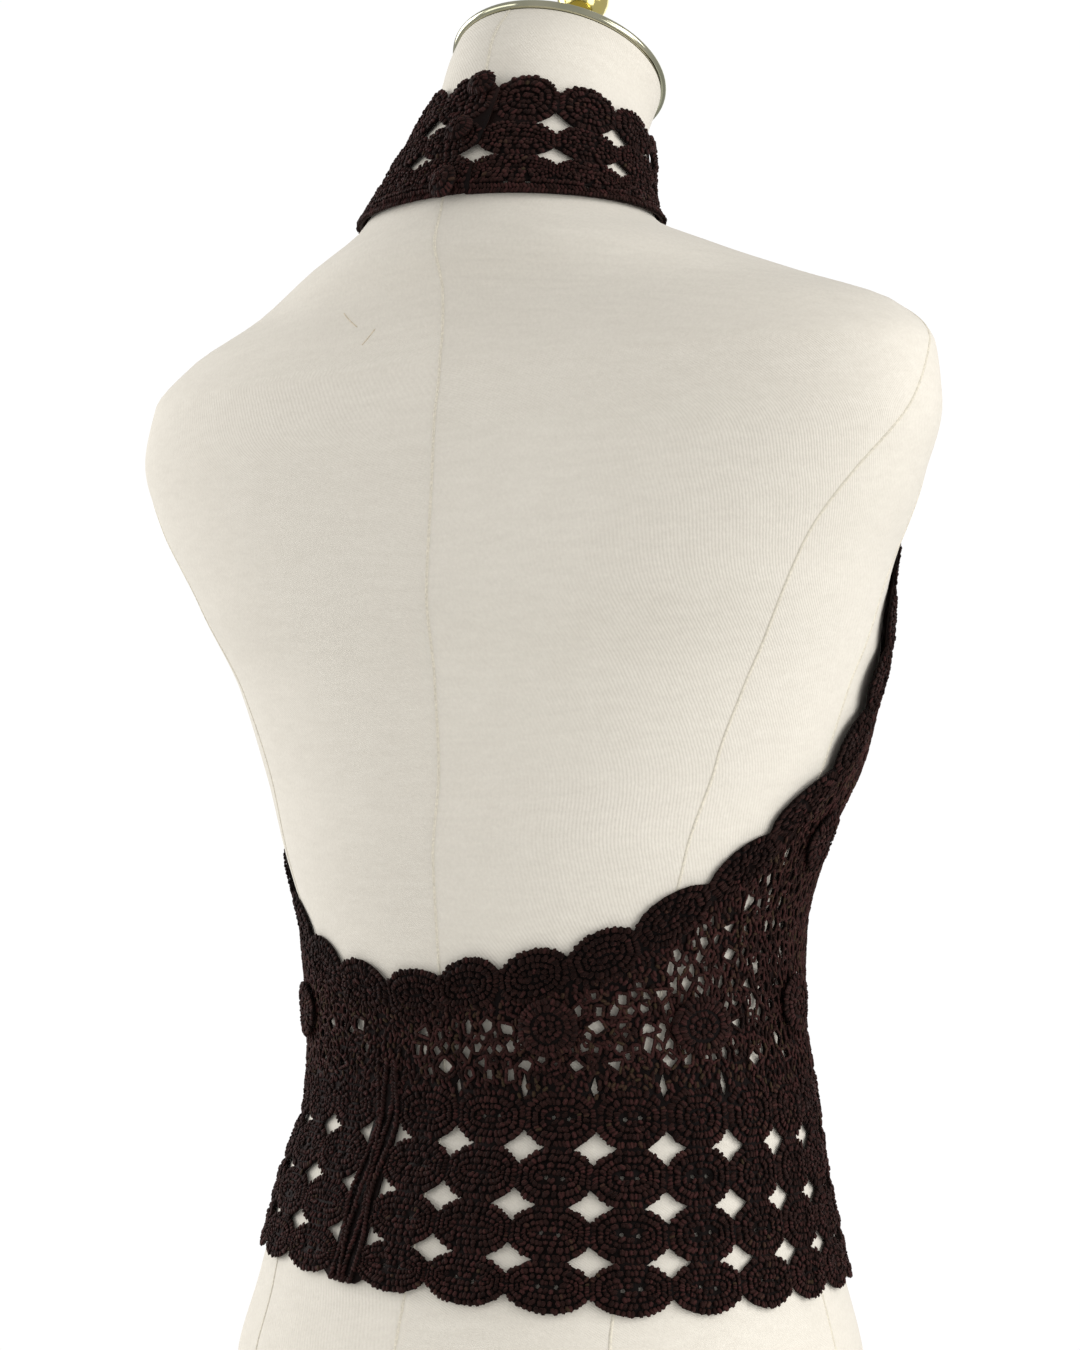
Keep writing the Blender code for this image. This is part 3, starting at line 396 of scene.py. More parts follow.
def collar_place(column: Number, row: Number) -> Array:
    """Chart places of the collar: columns from the closure, rows from the rim's top.

    The first column widens downwards, by the square of the drop, and the others give way to it.
    """
    column, row = np.broadcast_arrays(np.asarray(column, float), np.asarray(row, float))
    share = COLLAR_CLOSURE + column / COLLAR_COLUMNS
    low = collar_bottom(share) + COLLAR_RIM
    rest = np.interp(row, range(1, len(COLLAR_EDGES) + 1), COLLAR_EDGES)
    rest = rest + np.maximum(row - len(COLLAR_EDGES), 0) * (COLLAR_EDGES[-1] - COLLAR_EDGES[-2])
    height = np.where(row < 1, low + row * (COLLAR_EDGES[0] - low), rest)
    drop = np.clip((COLLAR_EDGES[-1] - height) / (COLLAR_EDGES[-1] - COLLAR_EDGES[0]), 0, 1)
    give = np.minimum(column, (COLLAR_COLUMNS - column) / (COLLAR_COLUMNS - 1))
    return np.stack([share + COLLAR_FLARE * drop**2 * give, height], axis=-1)


class BorderRoute:
    """The border's centreline, from the centre back over the side to the collar, and its motifs."""

    SAMPLES = 400
    NEAR = 0.004
    LIFTS = table(
        "height right left",
        (0.255, 0.0, 0.0),
        (0.275, 0.0, -0.0008),
        (0.310, 0.0002, -0.0008),
        (0.345, 0.0026, -0.0006),
        (0.385, 0.0034, 0.0),
        (0.410, 0.0020, 0.0),
        (0.432, -0.0008, 0.0),
        (0.470, -0.0010, 0.0),
        (0.510, 0.0, 0.0),
    )
    LIFT_REACH = 0.034

    def __init__(self) -> None:
        """Measures the centreline as evenly stepped distances, minus leads, and heights."""
        rows = np.stack(list(BORDER.values()), axis=-1)
        along = np.concatenate([[0], np.cumsum(np.linalg.norm(np.diff(rows, axis=0), axis=1))])
        fine = np.linspace(0, along[-1], self.SAMPLES)
        lead = -monotone(along, BORDER["lead"], fine)
        height = monotone(along, BORDER["height"], fine)
        lead[0] = -CHART.girth(height[0]) / 2
        self.line = np.stack([lead, height], axis=-1)
        steps = np.linalg.norm(np.diff(self.line, axis=0), axis=1)
        self.distance = np.concatenate([[0], np.cumsum(steps)])
        self.both_sides = np.concatenate([self.line, self.line[::-1] * (-1, 1)])

    def edge(self, motif: Array) -> Array:
        """How far along the border a motif's edge lies. The motifs at the back are wider."""
        grown = motif + BORDER_GROWS * (1 - np.exp(-np.asarray(motif) / BORDER_SETTLES))
        whole = BORDER_MOTIFS + BORDER_GROWS * (1 - math.exp(-BORDER_MOTIFS / BORDER_SETTLES))
        return self.distance[-1] * grown / whole

    def at(self, distance: Array) -> tuple[Array, Array]:
        """The places on the centreline at some distances, and the unit directions there."""
        reach = np.stack([distance - self.NEAR, distance, distance + self.NEAR])
        reach = np.clip(reach, 0, self.distance[-1])
        places = np.stack([np.interp(reach, self.distance, self.line[:, k]) for k in (0, 1)], axis=-1)
        return places[1], unit(places[2] - places[0])

    def chart(self, place: Array, side: Number) -> Array:
        """Chart places of centreline pairs on one side, with the back edge's slight tilt."""
        share = side * (0.5 + place[..., 0] / CHART.girth(place[..., 1]))
        fade = np.maximum(0, 1 - np.abs(share) / BORDER_TILT_ENDS)
        height = place[..., 1] + BORDER_TILT * np.tanh(share / BORDER_TILT_OVER) * fade
        return np.stack([share, np.minimum(height, collar_bottom(share) - 2 * GAP)], axis=-1)

    def place(self, motif: Array, side: Number, x: Array, y: Array) -> Array:
        """Chart places in motifs: x and y run from -1 to 1 along and across each."""
        low, high = self.edge(motif), self.edge(motif + 1)
        middle, way = self.at((low + high) / 2)
        across = np.stack([-way[..., 1], way[..., 0]], axis=-1)
        half = (high - low) / 2
        offset = way * (OVAL * x * half)[..., None] + across * (OVAL * BORDER_HALF * y)[..., None]
        return self.chart(middle + offset, side)

    def lift(self, places: Array) -> Array:
        """How much further off the form chart places lie near the armholes, where the edge spans a hollow.

        It is the table's value for the side and height, times a smooth step from the reach to the centreline.
        """
        share = (places[..., 0] + 0.5) % 1 - 0.5
        height = places[..., 1]
        lead = (0.5 - np.abs(share)) * CHART.girth(height)
        centre = -np.interp(height, self.line[:, 1], self.line[:, 0])
        near = np.clip((lead - centre) / self.LIFT_REACH + 1, 0, 1)
        rows = self.LIFTS["height"]
        right, left = (np.interp(height, rows, self.LIFTS[side]) for side in ("right", "left"))
        return near * near * (3 - 2 * near) * np.where(share > 0, right, left)

    def chord(self, edge: int, out: float, side: int) -> Array:
        """The chart place at either end of the line where two border motifs touch."""
        place, way = self.at(np.asarray(self.edge(edge)))
        across = np.array([-way[1], way[0]]) if edge else np.array([0.0, 1.0])
        return self.chart(place + across * out * CHORD * BORDER_HALF, side)


ROUTE = BorderRoute()


def cut_ends(side: int) -> tuple[Array, Array]:
    """Where the side cut leaves the ovals and where it meets the border."""
    column = FRONT_COLUMNS[0] if side > 0 else FRONT_COLUMNS[1] - LAP
    return hip_place(column, ROWS), ROUTE.chord(CUT_MOTIF, -1, side)


def cut_share(side: int, height: Array) -> Array:
    """The share of the side cut above the ovals: a parabola that is upright where it meets the border."""
    low, top = cut_ends(side)
    up = (height - low[1]) / (top[1] - low[1])
    return low[0] + (top[0] - low[0]) * up * (2 - up)


def rosette_places() -> Array:
    """Every rosette as a share and a height."""
    front = [
        (0.5 + reach / float(CHART.girth(height)), height)
        for height, reaches in FRONT_ROSETTES.items()
        for reach in reaches
    ]
    return np.array([*WAIST_ROSETTES, *front])


ROSETTE_PLACES = rosette_places()


def share_apart(one: Array, other: Number) -> Array:
    """How far two shares are apart, the shorter way round."""
    return np.abs((one - other + 0.5) % 1 - 0.5)


def nearest(points: Array, others: Array) -> Array:
    """The distance from each flat point to the nearest of some others."""
    return np.hypot(points[:, None, 0] - others[:, 0], points[:, None, 1] - others[:, 1]).min(axis=1)


def inside(points: Array, polygon: Array) -> Array:
    """Which points lie in a polygon, by counting the edges to their right."""
    x, y = points[:, 0][:, None], points[:, 1][:, None]
    x0, y0 = polygon[:, 0], polygon[:, 1]
    x1, y1 = np.roll(x0, -1), np.roll(y0, -1)
    crosses = (y0 > y) != (y1 > y)
    level = np.where(y1 == y0, 1, y1 - y0)
    right = x < (x1 - x0) * (y - y0) / level + x0
    return (crosses & right).sum(1) % 2 == 1


def make_mesh(name: str, points: Array, faces: Iterable[Array], **paint: Number) -> bpy.types.Mesh:
    """A smooth-shaded mesh from arrays.

    Args:
        name: The mesh's name.
        points: Vertices, n by 3.
        faces: Arrays of vertex numbers, each m by 3 or m by 4.
        paint: Point attributes, each one number or one for each vertex.

    Returns:
        The mesh.
    """
    faces = list(faces)
    sizes = np.concatenate([np.full(len(group), group.shape[1]) for group in faces])
    corners = np.concatenate([group.ravel() for group in faces])
    mesh = bpy.data.meshes.new(name)
    mesh.vertices.add(len(points))
    mesh.vertices.foreach_set("co", np.asarray(points, np.float32).ravel())
    mesh.loops.add(len(corners))
    mesh.loops.foreach_set("vertex_index", corners.astype(np.int32))
    mesh.polygons.add(len(sizes))
    mesh.polygons.foreach_set("loop_start", np.concatenate([[0], np.cumsum(sizes)[:-1]]).astype(np.int32))
    mesh.update(calc_edges=True)
    mesh.validate()
    mesh.shade_smooth()
    for key, values in paint.items():
        spread = np.broadcast_to(values, len(points)).astype(np.float32)
        mesh.attributes.new(key, "FLOAT", "POINT").data.foreach_set("value", spread)
    return mesh


def grid_faces(rows: int, columns: int, round_columns: bool = False, round_rows: bool = False) -> Array:
    """Four-sided faces of a grid of points, row by row, joined round where its columns or rows close."""
    spans = np.arange(rows - 1 + round_rows), np.arange(columns - 1 + round_columns)
    i, j = np.meshgrid(*spans, indexing="ij")
    above, beside = (i + 1) % rows, (j + 1) % columns
    quads = [i * columns + j, i * columns + beside, above * columns + beside, above * columns + j]
    return np.stack(quads, axis=-1).reshape(-1, 4)


def spindle_faces(rings: int, sides: int, copies: int = 1) -> list[Array]:
    """Faces of closed shapes of one tip, rings of points and another tip, numbered in that order.

    They point outwards where each ring turns against the clock as seen from the last tip.

    Args:
        rings: The number of rings.
        sides: The points in each.
        copies: The number of shapes, one after another.

    Returns:
        The triangles at the tips and the four-sided faces between the rings.
    """
    k = np.arange(sides)
    after = (k + 1) % sides
    last = 1 + rings * sides
    low = np.stack([np.zeros(sides, int), 1 + after, 1 + k], axis=-1)
    high = np.stack([last - sides + k, last - sides + after, np.full(sides, last)], axis=-1)
    walls = 1 + grid_faces(rings, sides, True)
    base = (np.arange(copies) * (last + 1))[:, None, None]
    return [(np.concatenate([low, high]) + base).reshape(-1, 3), (walls + base).reshape(-1, 4)]


def on_spindle(values: Iterable[float], sides: int, ends: Iterable[float] = (0.0, 0.0)) -> Array:
    """One value for each point of a spindle: a tip's, each ring's on all its sides, and a tip's."""
    first, last = ends
    return np.concatenate([[first], np.repeat(values, sides), [last]])


def add_object(name: str, data: bpy.types.ID) -> bpy.types.Object:
    """A new object in the scene."""
    made = bpy.data.objects.new(name, data)
    bpy.context.scene.collection.objects.link(made)
    return made


def add_piece(
    mesh: bpy.types.Mesh, slot: Slot, material: bpy.types.Material, nodes: Sequence[str] = ()
) -> bpy.types.Object:
    """Links a mesh as a piece of the part.

    Args:
        mesh: The finished mesh, in the part's own coordinates.
        slot: The record's material slot; not used.
        material: Its finish.
        nodes: CAD nodes that it stands for.

    Returns:
        The object.
    """
    made = add_object(mesh.name, mesh)
    mesh.materials.append(material)
    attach(made, BODY)
    if nodes:
        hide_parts(*nodes)
    LOG.info("%s: %d faces", mesh.name, len(mesh.polygons))
    return made


class ShaderGraph:
    """A short way to write a material's nodes."""

    def __init__(self, name: str, **settings: object) -> None:
        """Starts a material with its shader.

        Args:
            name: The material's name.
            settings: Values for the shader's sockets, with spaces as underscores.
        """
        self.material = bpy.data.materials.new(name)
        self.material.use_nodes = True
        self.tree = self.material.node_tree
        self.shader = self.tree.nodes["Principled BSDF"]
        for key, value in settings.items():
            self.shader.inputs[key.replace("_", " ")].default_value = value

    def node(self, kind: str, joined: dict[str, Socket], **settings: object) -> bpy.types.Node:
        """A new node.

        Args:
            kind: The node's type, without its first word.
            joined: Sockets to join to its inputs, by name.
            settings: Its properties, or values for its inputs.

        Returns:
            The node.
        """
        made = self.tree.nodes.new("ShaderNode" + kind)
        for key, value in settings.items():
            if hasattr(made, key):
                setattr(made, key, value)
            else:
                made.inputs[key].default_value = value
        for key, source in joined.items():
            self.tree.links.new(source, made.inputs[key])
        return made

    def put(self, value: Socket | Colour | float, target: Socket) -> None:
        """Joins a socket to another, or sets that one's number or colour."""
        if isinstance(value, Socket):
            self.tree.links.new(value, target)
        else:
            target.default_value = (*value, 1) if isinstance(value, tuple) else value

    def attribute(self, name: str) -> Socket:
        """The value of a point attribute."""
        return self.node("Attribute", {}, attribute_name=name).outputs["Fac"]

    def noise(
        self, scale: float, detail: float = 2.0, at: Socket | None = None, roughness: float = 0.5
    ) -> Socket:
        """Noise over the Object coordinates, or over others."""
        at = at or self.node("TexCoord", {}).outputs["Object"]
        made = self.node("TexNoise", {"Vector": at}, Scale=scale, Detail=detail, Roughness=roughness)
        return made.outputs["Fac"]

    def ramp(self, source: Socket, *stops: tuple[float, Colour]) -> Socket:
        """A colour ramp over a value, through positions and colours in rising order."""
        made = self.node("ValToRGB", {"Fac": source})
        elements = made.color_ramp.elements
        while len(elements) < len(stops):
            elements.new(0.5)
        for element, (position, colour) in zip(elements, stops):
            element.position = position
            element.color = (*colour, 1)
        return made.outputs["Color"]

    def maths(self, operation: str, first: Socket, second: Socket | float) -> Socket:
        """A sum on two values, of which the second may be a number."""
        made = self.node("Math", {}, operation=operation)
        self.put(first, made.inputs[0])
        self.put(second, made.inputs[1])
        return made.outputs[0]

    def total(self, *parts: tuple[Socket, float]) -> Socket:
        """The total of some values, each times its weight. A weight of one needs no product."""
        weighed = [self.maths("MULTIPLY", value, weight) if weight != 1 else value for value, weight in parts]
        return reduce(lambda one, other: self.maths("ADD", one, other), weighed)

    def mix(self, factor: Socket, first: Socket | Colour, second: Socket | Colour) -> Socket:
        """Blends two colours by a factor."""
        made = self.node("Mix", {}, data_type="RGBA")
        self.put(factor, made.inputs["Factor"])
        self.put(first, made.inputs[6])
        self.put(second, made.inputs[7])
        return made.outputs[2]

    def finish(self, colour: Socket, relief: Socket, bump: Pair | None) -> bpy.types.Material:
        """Joins a colour to the shader, and a relief by its strength and distance, and gives the material."""
        if bump:
            made = self.node("Bump", {"Height": relief}, Strength=bump[0], Distance=bump[1])
            self.put(made.outputs["Normal"], self.shader.inputs["Normal"])
        self.put(colour, self.shader.inputs["Base Color"])
        return self.material


@dataclass(frozen=True)
class YarnFinish:
    """Dark chocolate yarn, whose stitches range from near black to reddish purple and olive."""

    name: str = "crochet_yarn"
    # The first colour is painted shade: the yarn's colour where a grain's side or bottom, or the cloth
    # between grains, lies in shade.
    crevice: Colour = (0.0016, 0.0006, 0.0004)
    dark: Colour = (0.0065, 0.0024, 0.0018)
    chocolate: Colour = (0.0225, 0.0085, 0.0068)
    purple: Colour = (0.0520, 0.0165, 0.0155)
    olive: Colour = (0.0420, 0.0280, 0.0140)
    fibre_scale: float = 1500.0
    patch_scale: float = 26.0
    roughness: float = 0.62
    specular: float = 0.07
    sheen: float = 0.06
    sheen_tint: Colour = (1.0, 0.50, 0.42)
    bump: Pair = (0.55, 0.00035)

    def material(self) -> bpy.types.Material:
        """Builds the material: a stitch's tone picks its colour, painted shade darkens its sides and tips,
        and noise gives fibres.
        """
        sheen = {"Sheen_Weight": self.sheen, "Sheen_Tint": (*self.sheen_tint, 1)}
        graph = ShaderGraph(self.name, Roughness=self.roughness, Specular_IOR_Level=self.specular, **sheen)
        fibre = graph.noise(self.fibre_scale, 3.0, roughness=0.65)
        patch = graph.noise(self.patch_scale)
        shade = graph.total((graph.attribute("tone"), 1.0), (patch, 0.5), (fibre, 0.5))
        stops = (0.05, self.dark), (0.45, self.chocolate), (0.80, self.purple), (1.0, self.olive)
        colour = graph.ramp(graph.maths("SUBTRACT", shade, 0.5), *stops)
        # The lit attribute blends from the painted shade colour at 0 to the stitch's colour at 1; pieces
        # without lit read 0 and are all painted shade.
        return graph.finish(graph.mix(graph.attribute("lit"), self.crevice, colour), fibre, self.bump)


@dataclass(frozen=True)
class CoverFinish:
    """Ecru cotton twill over the form's padding."""

    name: str = "form_cover"
    light: Colour = (0.845, 0.795, 0.700)
    shade: Colour = (0.735, 0.685, 0.595)
    speck: Colour = (0.30, 0.22, 0.14)
    twill_scale: float = 370.0
    slub_scale: float = 260.0
    slub_squeeze: Colour = (0.25, 1.0, 1.0)
    stain_scale: float = 9.0
    grain_scale: float = 700.0
    speck_scale: float = 62.0
    speck_radius: float = 0.022
    speck_above: float = 0.60
    speck_strength: float = 0.6
    roughness: float = 0.88
    sheen: float = 0.08
    bump: Pair = (0.35, 0.0004)

    def material(self) -> bpy.types.Material:
        """Builds the material: a diagonal weave and slubs in the cover's map, soft stains and rare specks."""
        graph = ShaderGraph(self.name, Roughness=self.roughness, Sheen_Weight=self.sheen)
        flat = graph.node("UVMap", {}, uv_map="chart").outputs["UV"]
        weave = {"bands_direction": "DIAGONAL", "Scale": self.twill_scale, "Distortion": 1.5}
        twill = graph.node("TexWave", {"Vector": flat}, **weave).outputs["Fac"]
        squeezed = graph.node("Mapping", {"Vector": flat}, Scale=self.slub_squeeze).outputs["Vector"]
        slub = graph.noise(self.slub_scale, 3.0, squeezed)
        stain = graph.noise(self.stain_scale, 3.0)
        grain = graph.noise(self.grain_scale)
        place = graph.node("TexCoord", {}).outputs["Object"]
        cells = graph.node("TexVoronoi", {"Vector": place}, Scale=self.speck_scale).outputs["Distance"]
        colour = graph.ramp(
            graph.total((slub, 0.3), (stain, 0.3), (grain, 0.4)), (0.30, self.shade), (0.68, self.light)
        )
        near = graph.maths("LESS_THAN", cells, self.speck_radius)
        specks = graph.maths("MULTIPLY", near, graph.maths("GREATER_THAN", stain, self.speck_above))
        colour = graph.mix(graph.maths("MULTIPLY", specks, self.speck_strength), colour, self.speck)
        return graph.finish(colour, graph.total((twill, 0.6), (slub, 0.7), (grain, 0.7)), self.bump)


@dataclass(frozen=True)
class MottledFinish:
    """A plain colour with a darker mottle in it, for thread, chalk and the studio's floor."""

    name: str
    colour: Colour
    roughness: float = 0.8
    specular: float = 0.5
    scale: float = 900.0
    darker: float = 0.75
    bump: Pair | None = (0.3, 0.0002)

    def material(self) -> bpy.types.Material:
        """Builds the material."""
        graph = ShaderGraph(self.name, Roughness=self.roughness, Specular_IOR_Level=self.specular)
        mottle = graph.noise(self.scale)
        dark = tuple(self.darker * value for value in self.colour)
        return graph.finish(graph.ramp(mottle, (0.3, dark), (0.7, self.colour)), mottle, self.bump)


@dataclass(frozen=True)
class MetalFinish:
    """Polished gilt metal, with fine hairlines and a trace of wear."""

    name: str
    colour: Colour
    worn: Colour
    roughness: float = 0.12
    patch_scale: float = 22.0
    scratch_scale: float = 900.0
    scratched: float = 0.12
    smoothed: float = 0.05
    bump: Pair = (0.05, 0.0001)

    def material(self) -> bpy.types.Material:
        """Builds the material: the colour shifts in patches, and fine noise roughens it here and there."""
        graph = ShaderGraph(self.name, Metallic=1.0)
        patch = graph.noise(self.patch_scale, 4.0)
        scratch = graph.noise(self.scratch_scale)
        rough = graph.maths("ADD", graph.total((scratch, self.scratched)), self.roughness - self.smoothed)
        graph.put(rough, graph.shader.inputs["Roughness"])
        return graph.finish(graph.ramp(patch, (0.40, self.worn), (0.60, self.colour)), scratch, self.bump)


@dataclass
class Grains:
    """Many short tapered lengths of yarn, as arrays with one entry for each."""

    start: Array
    end: Array
    start_clear: Array
    end_clear: Array
    half_width: Array
    half_height: Array
    tone: Array

    ALONG = (0.20, 0.80)
    SWELL = (0.98, 0.98)
    SIDES = 4
    # SHADE shapes the painted light round each ring, and TIP_LIT is the painted light at the tips.
    SHADE = 1.5
    TIP_LIT = 0.12

    @classmethod
    def of(
        cls,
        start: Array,
        end: Array,
        clears: tuple[Number, Number],
        width: Number,
        height: Number,
        tone: Number,
    ) -> "Grains":
        """Grains between chart places, with single numbers spread over all of them."""
        values = (np.asarray(value, float) for value in (*clears, width, height, tone))
        return cls(start, end, *(np.broadcast_to(value, len(start)).copy() for value in values))

    @classmethod
    def join(cls, parts: Iterable["Grains"]) -> "Grains":
        """All the grains of several sets in one."""
        parts = list(parts)
        return cls(*(np.concatenate([getattr(part, each.name) for part in parts]) for each in fields(cls)))

    def kept(self, keep: Array) -> "Grains":
        """Only the grains that a mask keeps."""
        return Grains(*(getattr(self, each.name)[keep] for each in fields(self)))

    def mesh(self, name: str) -> bpy.types.Mesh:
        """Builds the grains.

        Each is a tip, rings of four points and a tip, along the straight way between its ends on the chart. A
        ring's points are the way's point plus half_width times the cosine of their angle to the left, and
        half_height times its sine outwards, all times the ring's swell.

        Args:
            name: The mesh's name.

        Returns:
            The mesh, with the point attributes tone and lit. Lit is painted light and shade: most at a ring's
            top, none at its bottom, and low at the tips.
        """
        rings, sides, count = len(self.ALONG), self.SIDES, len(self.start)
        along = on_spindle(self.ALONG, sides, (0.0, 1.0))
        swell = on_spindle(self.SWELL, sides)
        turn = np.concatenate([[0.0], np.tile(turns(sides), rings), [0.0]])
        way = CHART.steps(self.start, self.end)
        way /= np.maximum(np.linalg.norm(way, axis=-1, keepdims=True), 1e-9)
        middle = self.start[:, None] + (self.end - self.start)[:, None] * along[None, :, None]
        aside = self.half_width[:, None] * swell * np.cos(turn)
        places = CHART.shift(middle, -way[:, 1, None] * aside, way[:, 0, None] * aside)
        clear = self.start_clear[:, None] * (1 - along) + self.end_clear[:, None] * along
        clear = clear + self.half_height[:, None] * swell * np.sin(turn) + ROUTE.lift(places)
        # Painted light: lighter at each ring's top, painted shade at its sides and bottom and at the tips.
        lit = np.where(swell > 0, (0.5 + 0.5 * np.sin(turn)) ** self.SHADE, self.TIP_LIT)
        paint = {"tone": np.repeat(self.tone, len(along)), "lit": np.tile(lit, count)}
        points = CHART.wrap(places, clear).reshape(-1, 3)
        return make_mesh(name, points, spindle_faces(rings, sides, count), **paint)


@dataclass(frozen=True)
class Round:
    """One round of stitches in a motif, between two shares of its radius."""

    spacing: float
    inner: float
    outer: float
    inner_clear: float
    outer_clear: float
    lean: float


@dataclass(frozen=True)
class OvalRounds:
    """The rounds of stitches that fill an oval motif, and how uneven they are."""

    rounds: tuple[Round, ...] = (
        Round(0.00170, 0.765, 1.005, 0.0031, 0.0027, 0.35),
        Round(0.00165, 0.505, 0.735, 0.0033, 0.0033, -0.35),
        Round(0.00160, 0.290, 0.465, 0.0032, 0.0031, 0.45),
        Round(0.00150, 0.050, 0.250, 0.0026, 0.0029, -0.5),
    )
    fewest: int = 6
    width: float = 0.56
    widths: Pair = (0.0004, 0.0010)
    turn_jitter: float = 0.16
    lean_jitter: float = 0.75
    inner_jitter: Pair = (-0.02, 0.02)
    outer_jitter: Pair = (-0.04, 0.03)
    lift_jitter: float = 0.00028
    sink: float = 0.0009
    tone_mean: float = 0.46
    tone_spread: float = 0.20

    def grains(
        self,
        at: Callable[[Array, Array, Array], Array],
        halves: Array,
        touching: Array,
        rng: np.random.Generator,
        clear: float = 0.0,
    ) -> Grains:
        """Stitches of many ovals at once, round by round.

        Args:
            at: Gives chart places from motif numbers and local x and y.
            halves: Each oval's half width and half height in metres.
            touching: For each oval, whether it touches on its right, top, left and bottom.
            rng: The source of unevenness.
            clear: What to add to every distance off the form.

        Returns:
            The grains.
        """
        made = []
        for step in self.rounds:
            ring = halves - (1 - (step.inner + step.outer) / 2) * halves.min(axis=1, keepdims=True)
            perimeter = math.pi * np.sqrt(2 * (ring**2).sum(axis=1))
            counts = np.maximum(self.fewest, 2 * np.round(perimeter / step.spacing / 2)).astype(int)
            for count in np.unique(counts):
                numbers = np.flatnonzero(counts == count)
                made.append(self.round(step, numbers, int(count), ring, at, halves, touching, rng, clear))
        return Grains.join(made)

    def round(
        self,
        step: Round,
        numbers: Array,
        count: int,
        ring: Array,
        at: Callable[[Array, Array, Array], Array],
        halves: Array,
        touching: Array,
        rng: np.random.Generator,
        clear: float,
    ) -> Grains:
        """One round of the ovals that have the same count of stitches in it.

        Stitch i of n stands at the angle 2 pi i / n and runs outwards between two ellipses, with its outer
        end turned on by the lean. Each ellipse lies one even distance inside the oval's edge, so the inner
        ones are longer in shape. The reach is 1, or less where the oval is flattened against a neighbour.

        Args:
            step: The round.
            numbers: The ovals.
            count: The stitches in each.
            ring: The half width and half height of the round's middle, for every oval.
            at: As in grains, and so are halves, touching, rng and clear.

        Returns:
            The grains.
        """
        shape = (len(numbers), count)
        numbers = numbers[:, None]

        def angle(stitches: Array) -> Array:
            """The angle that some stitches take up."""
            return stitches * 2 * math.pi / count

        turn = angle(np.arange(count) + rng.uniform(0, 1, (shape[0], 1)))
        turn = turn + angle(rng.uniform(-1, 1, shape) * self.turn_jitter)
        ahead = turn + angle(step.lean + rng.uniform(-self.lean_jitter, self.lean_jitter, shape))
        inner = step.inner + rng.uniform(*self.inner_jitter, shape)
        outer = step.outer + rng.uniform(*self.outer_jitter, shape)
        thin = (halves.min(axis=1, keepdims=True) / halves)[numbers[:, 0]].T[:, :, None]
        pressed = self.reach(ahead, touching[numbers[:, 0]])
        low = (1 - (1 - inner) * thin) * self.reach(turn, touching[numbers[:, 0]])
        high = (1 - (1 - outer) * thin) * pressed
        start = at(numbers, low[0] * np.cos(turn), low[1] * np.sin(turn)).reshape(-1, 2)
        end = at(numbers, high[0] * np.cos(ahead), high[1] * np.sin(ahead)).reshape(-1, 2)
        pitch = np.hypot(*(ring[numbers[:, 0]].T[:, :, None] * np.stack([np.sin(turn), np.cos(turn)])))
        half = np.clip(angle(self.width * pitch), *self.widths).ravel()
        lift = rng.uniform(-self.lift_jitter, self.lift_jitter, shape).ravel() + clear
        tone = np.clip(rng.normal(self.tone_mean, self.tone_spread, shape), 0, 1).ravel()
        sunk = self.sink * np.where(step.outer > 1, (1 - pressed) / (1 - 1 / OVAL), 0).ravel()
        clears = step.inner_clear + lift, step.outer_clear + lift - sunk
        return Grains.of(start, end, clears, half, GRAIN_HALF, tone)

    @staticmethod
    def reach(turn: Array, touching: Array) -> Array:
        """How far the flattened circle reaches at some turns: 1, or the cell's edge towards a neighbour."""
        sine, cosine = np.sin(turn), np.cos(turn)
        ways = np.stack([cosine, sine, -cosine, -sine], axis=-1)
        pressed = np.where(touching[:, None, :], ways, 0)
        return np.minimum(1, 1 / np.maximum(OVAL * pressed.max(axis=-1), 1e-6))


@dataclass(frozen=True)
class Margins:
    """How far something stays off the border, the collar, the rosettes' middles, the seam and the cuts."""

    border: float
    collar: float
    disc: float
    seam: float
    cut: float

    FOOT_WIDER = 1.2

    def kept_by(self, places: Array) -> Array:
        """Which chart places keep these margins, within the border's outline."""
        share, height = places[:, 0], places[:, 1]
        size = CHART.girth(height)
        flat = np.stack([((share % 1) - 0.5) * size, height], axis=-1)
        route = ROUTE.both_sides
        good = inside(flat, np.concatenate([route, route[[-1, 0]] * (self.FOOT_WIDER, 0)]))
        good &= (height < COLLAR_BOTTOM - self.collar) & (nearest(flat, route) > self.border)
        apart = share_apart(share[:, None], ROSETTE_PLACES[:, 0]) * size[:, None]
        good &= np.hypot(apart, height[:, None] - ROSETTE_PLACES[:, 1]).min(axis=1) > self.disc
        good &= share_apart(share, SEAM_AT) * size > self.seam
        for side in (1, -1):
            above = height > cut_ends(side)[1][1] + BORDER_HALF
            good &= above | (share_apart(cut_share(side, height), share) * size > self.cut)
        return good


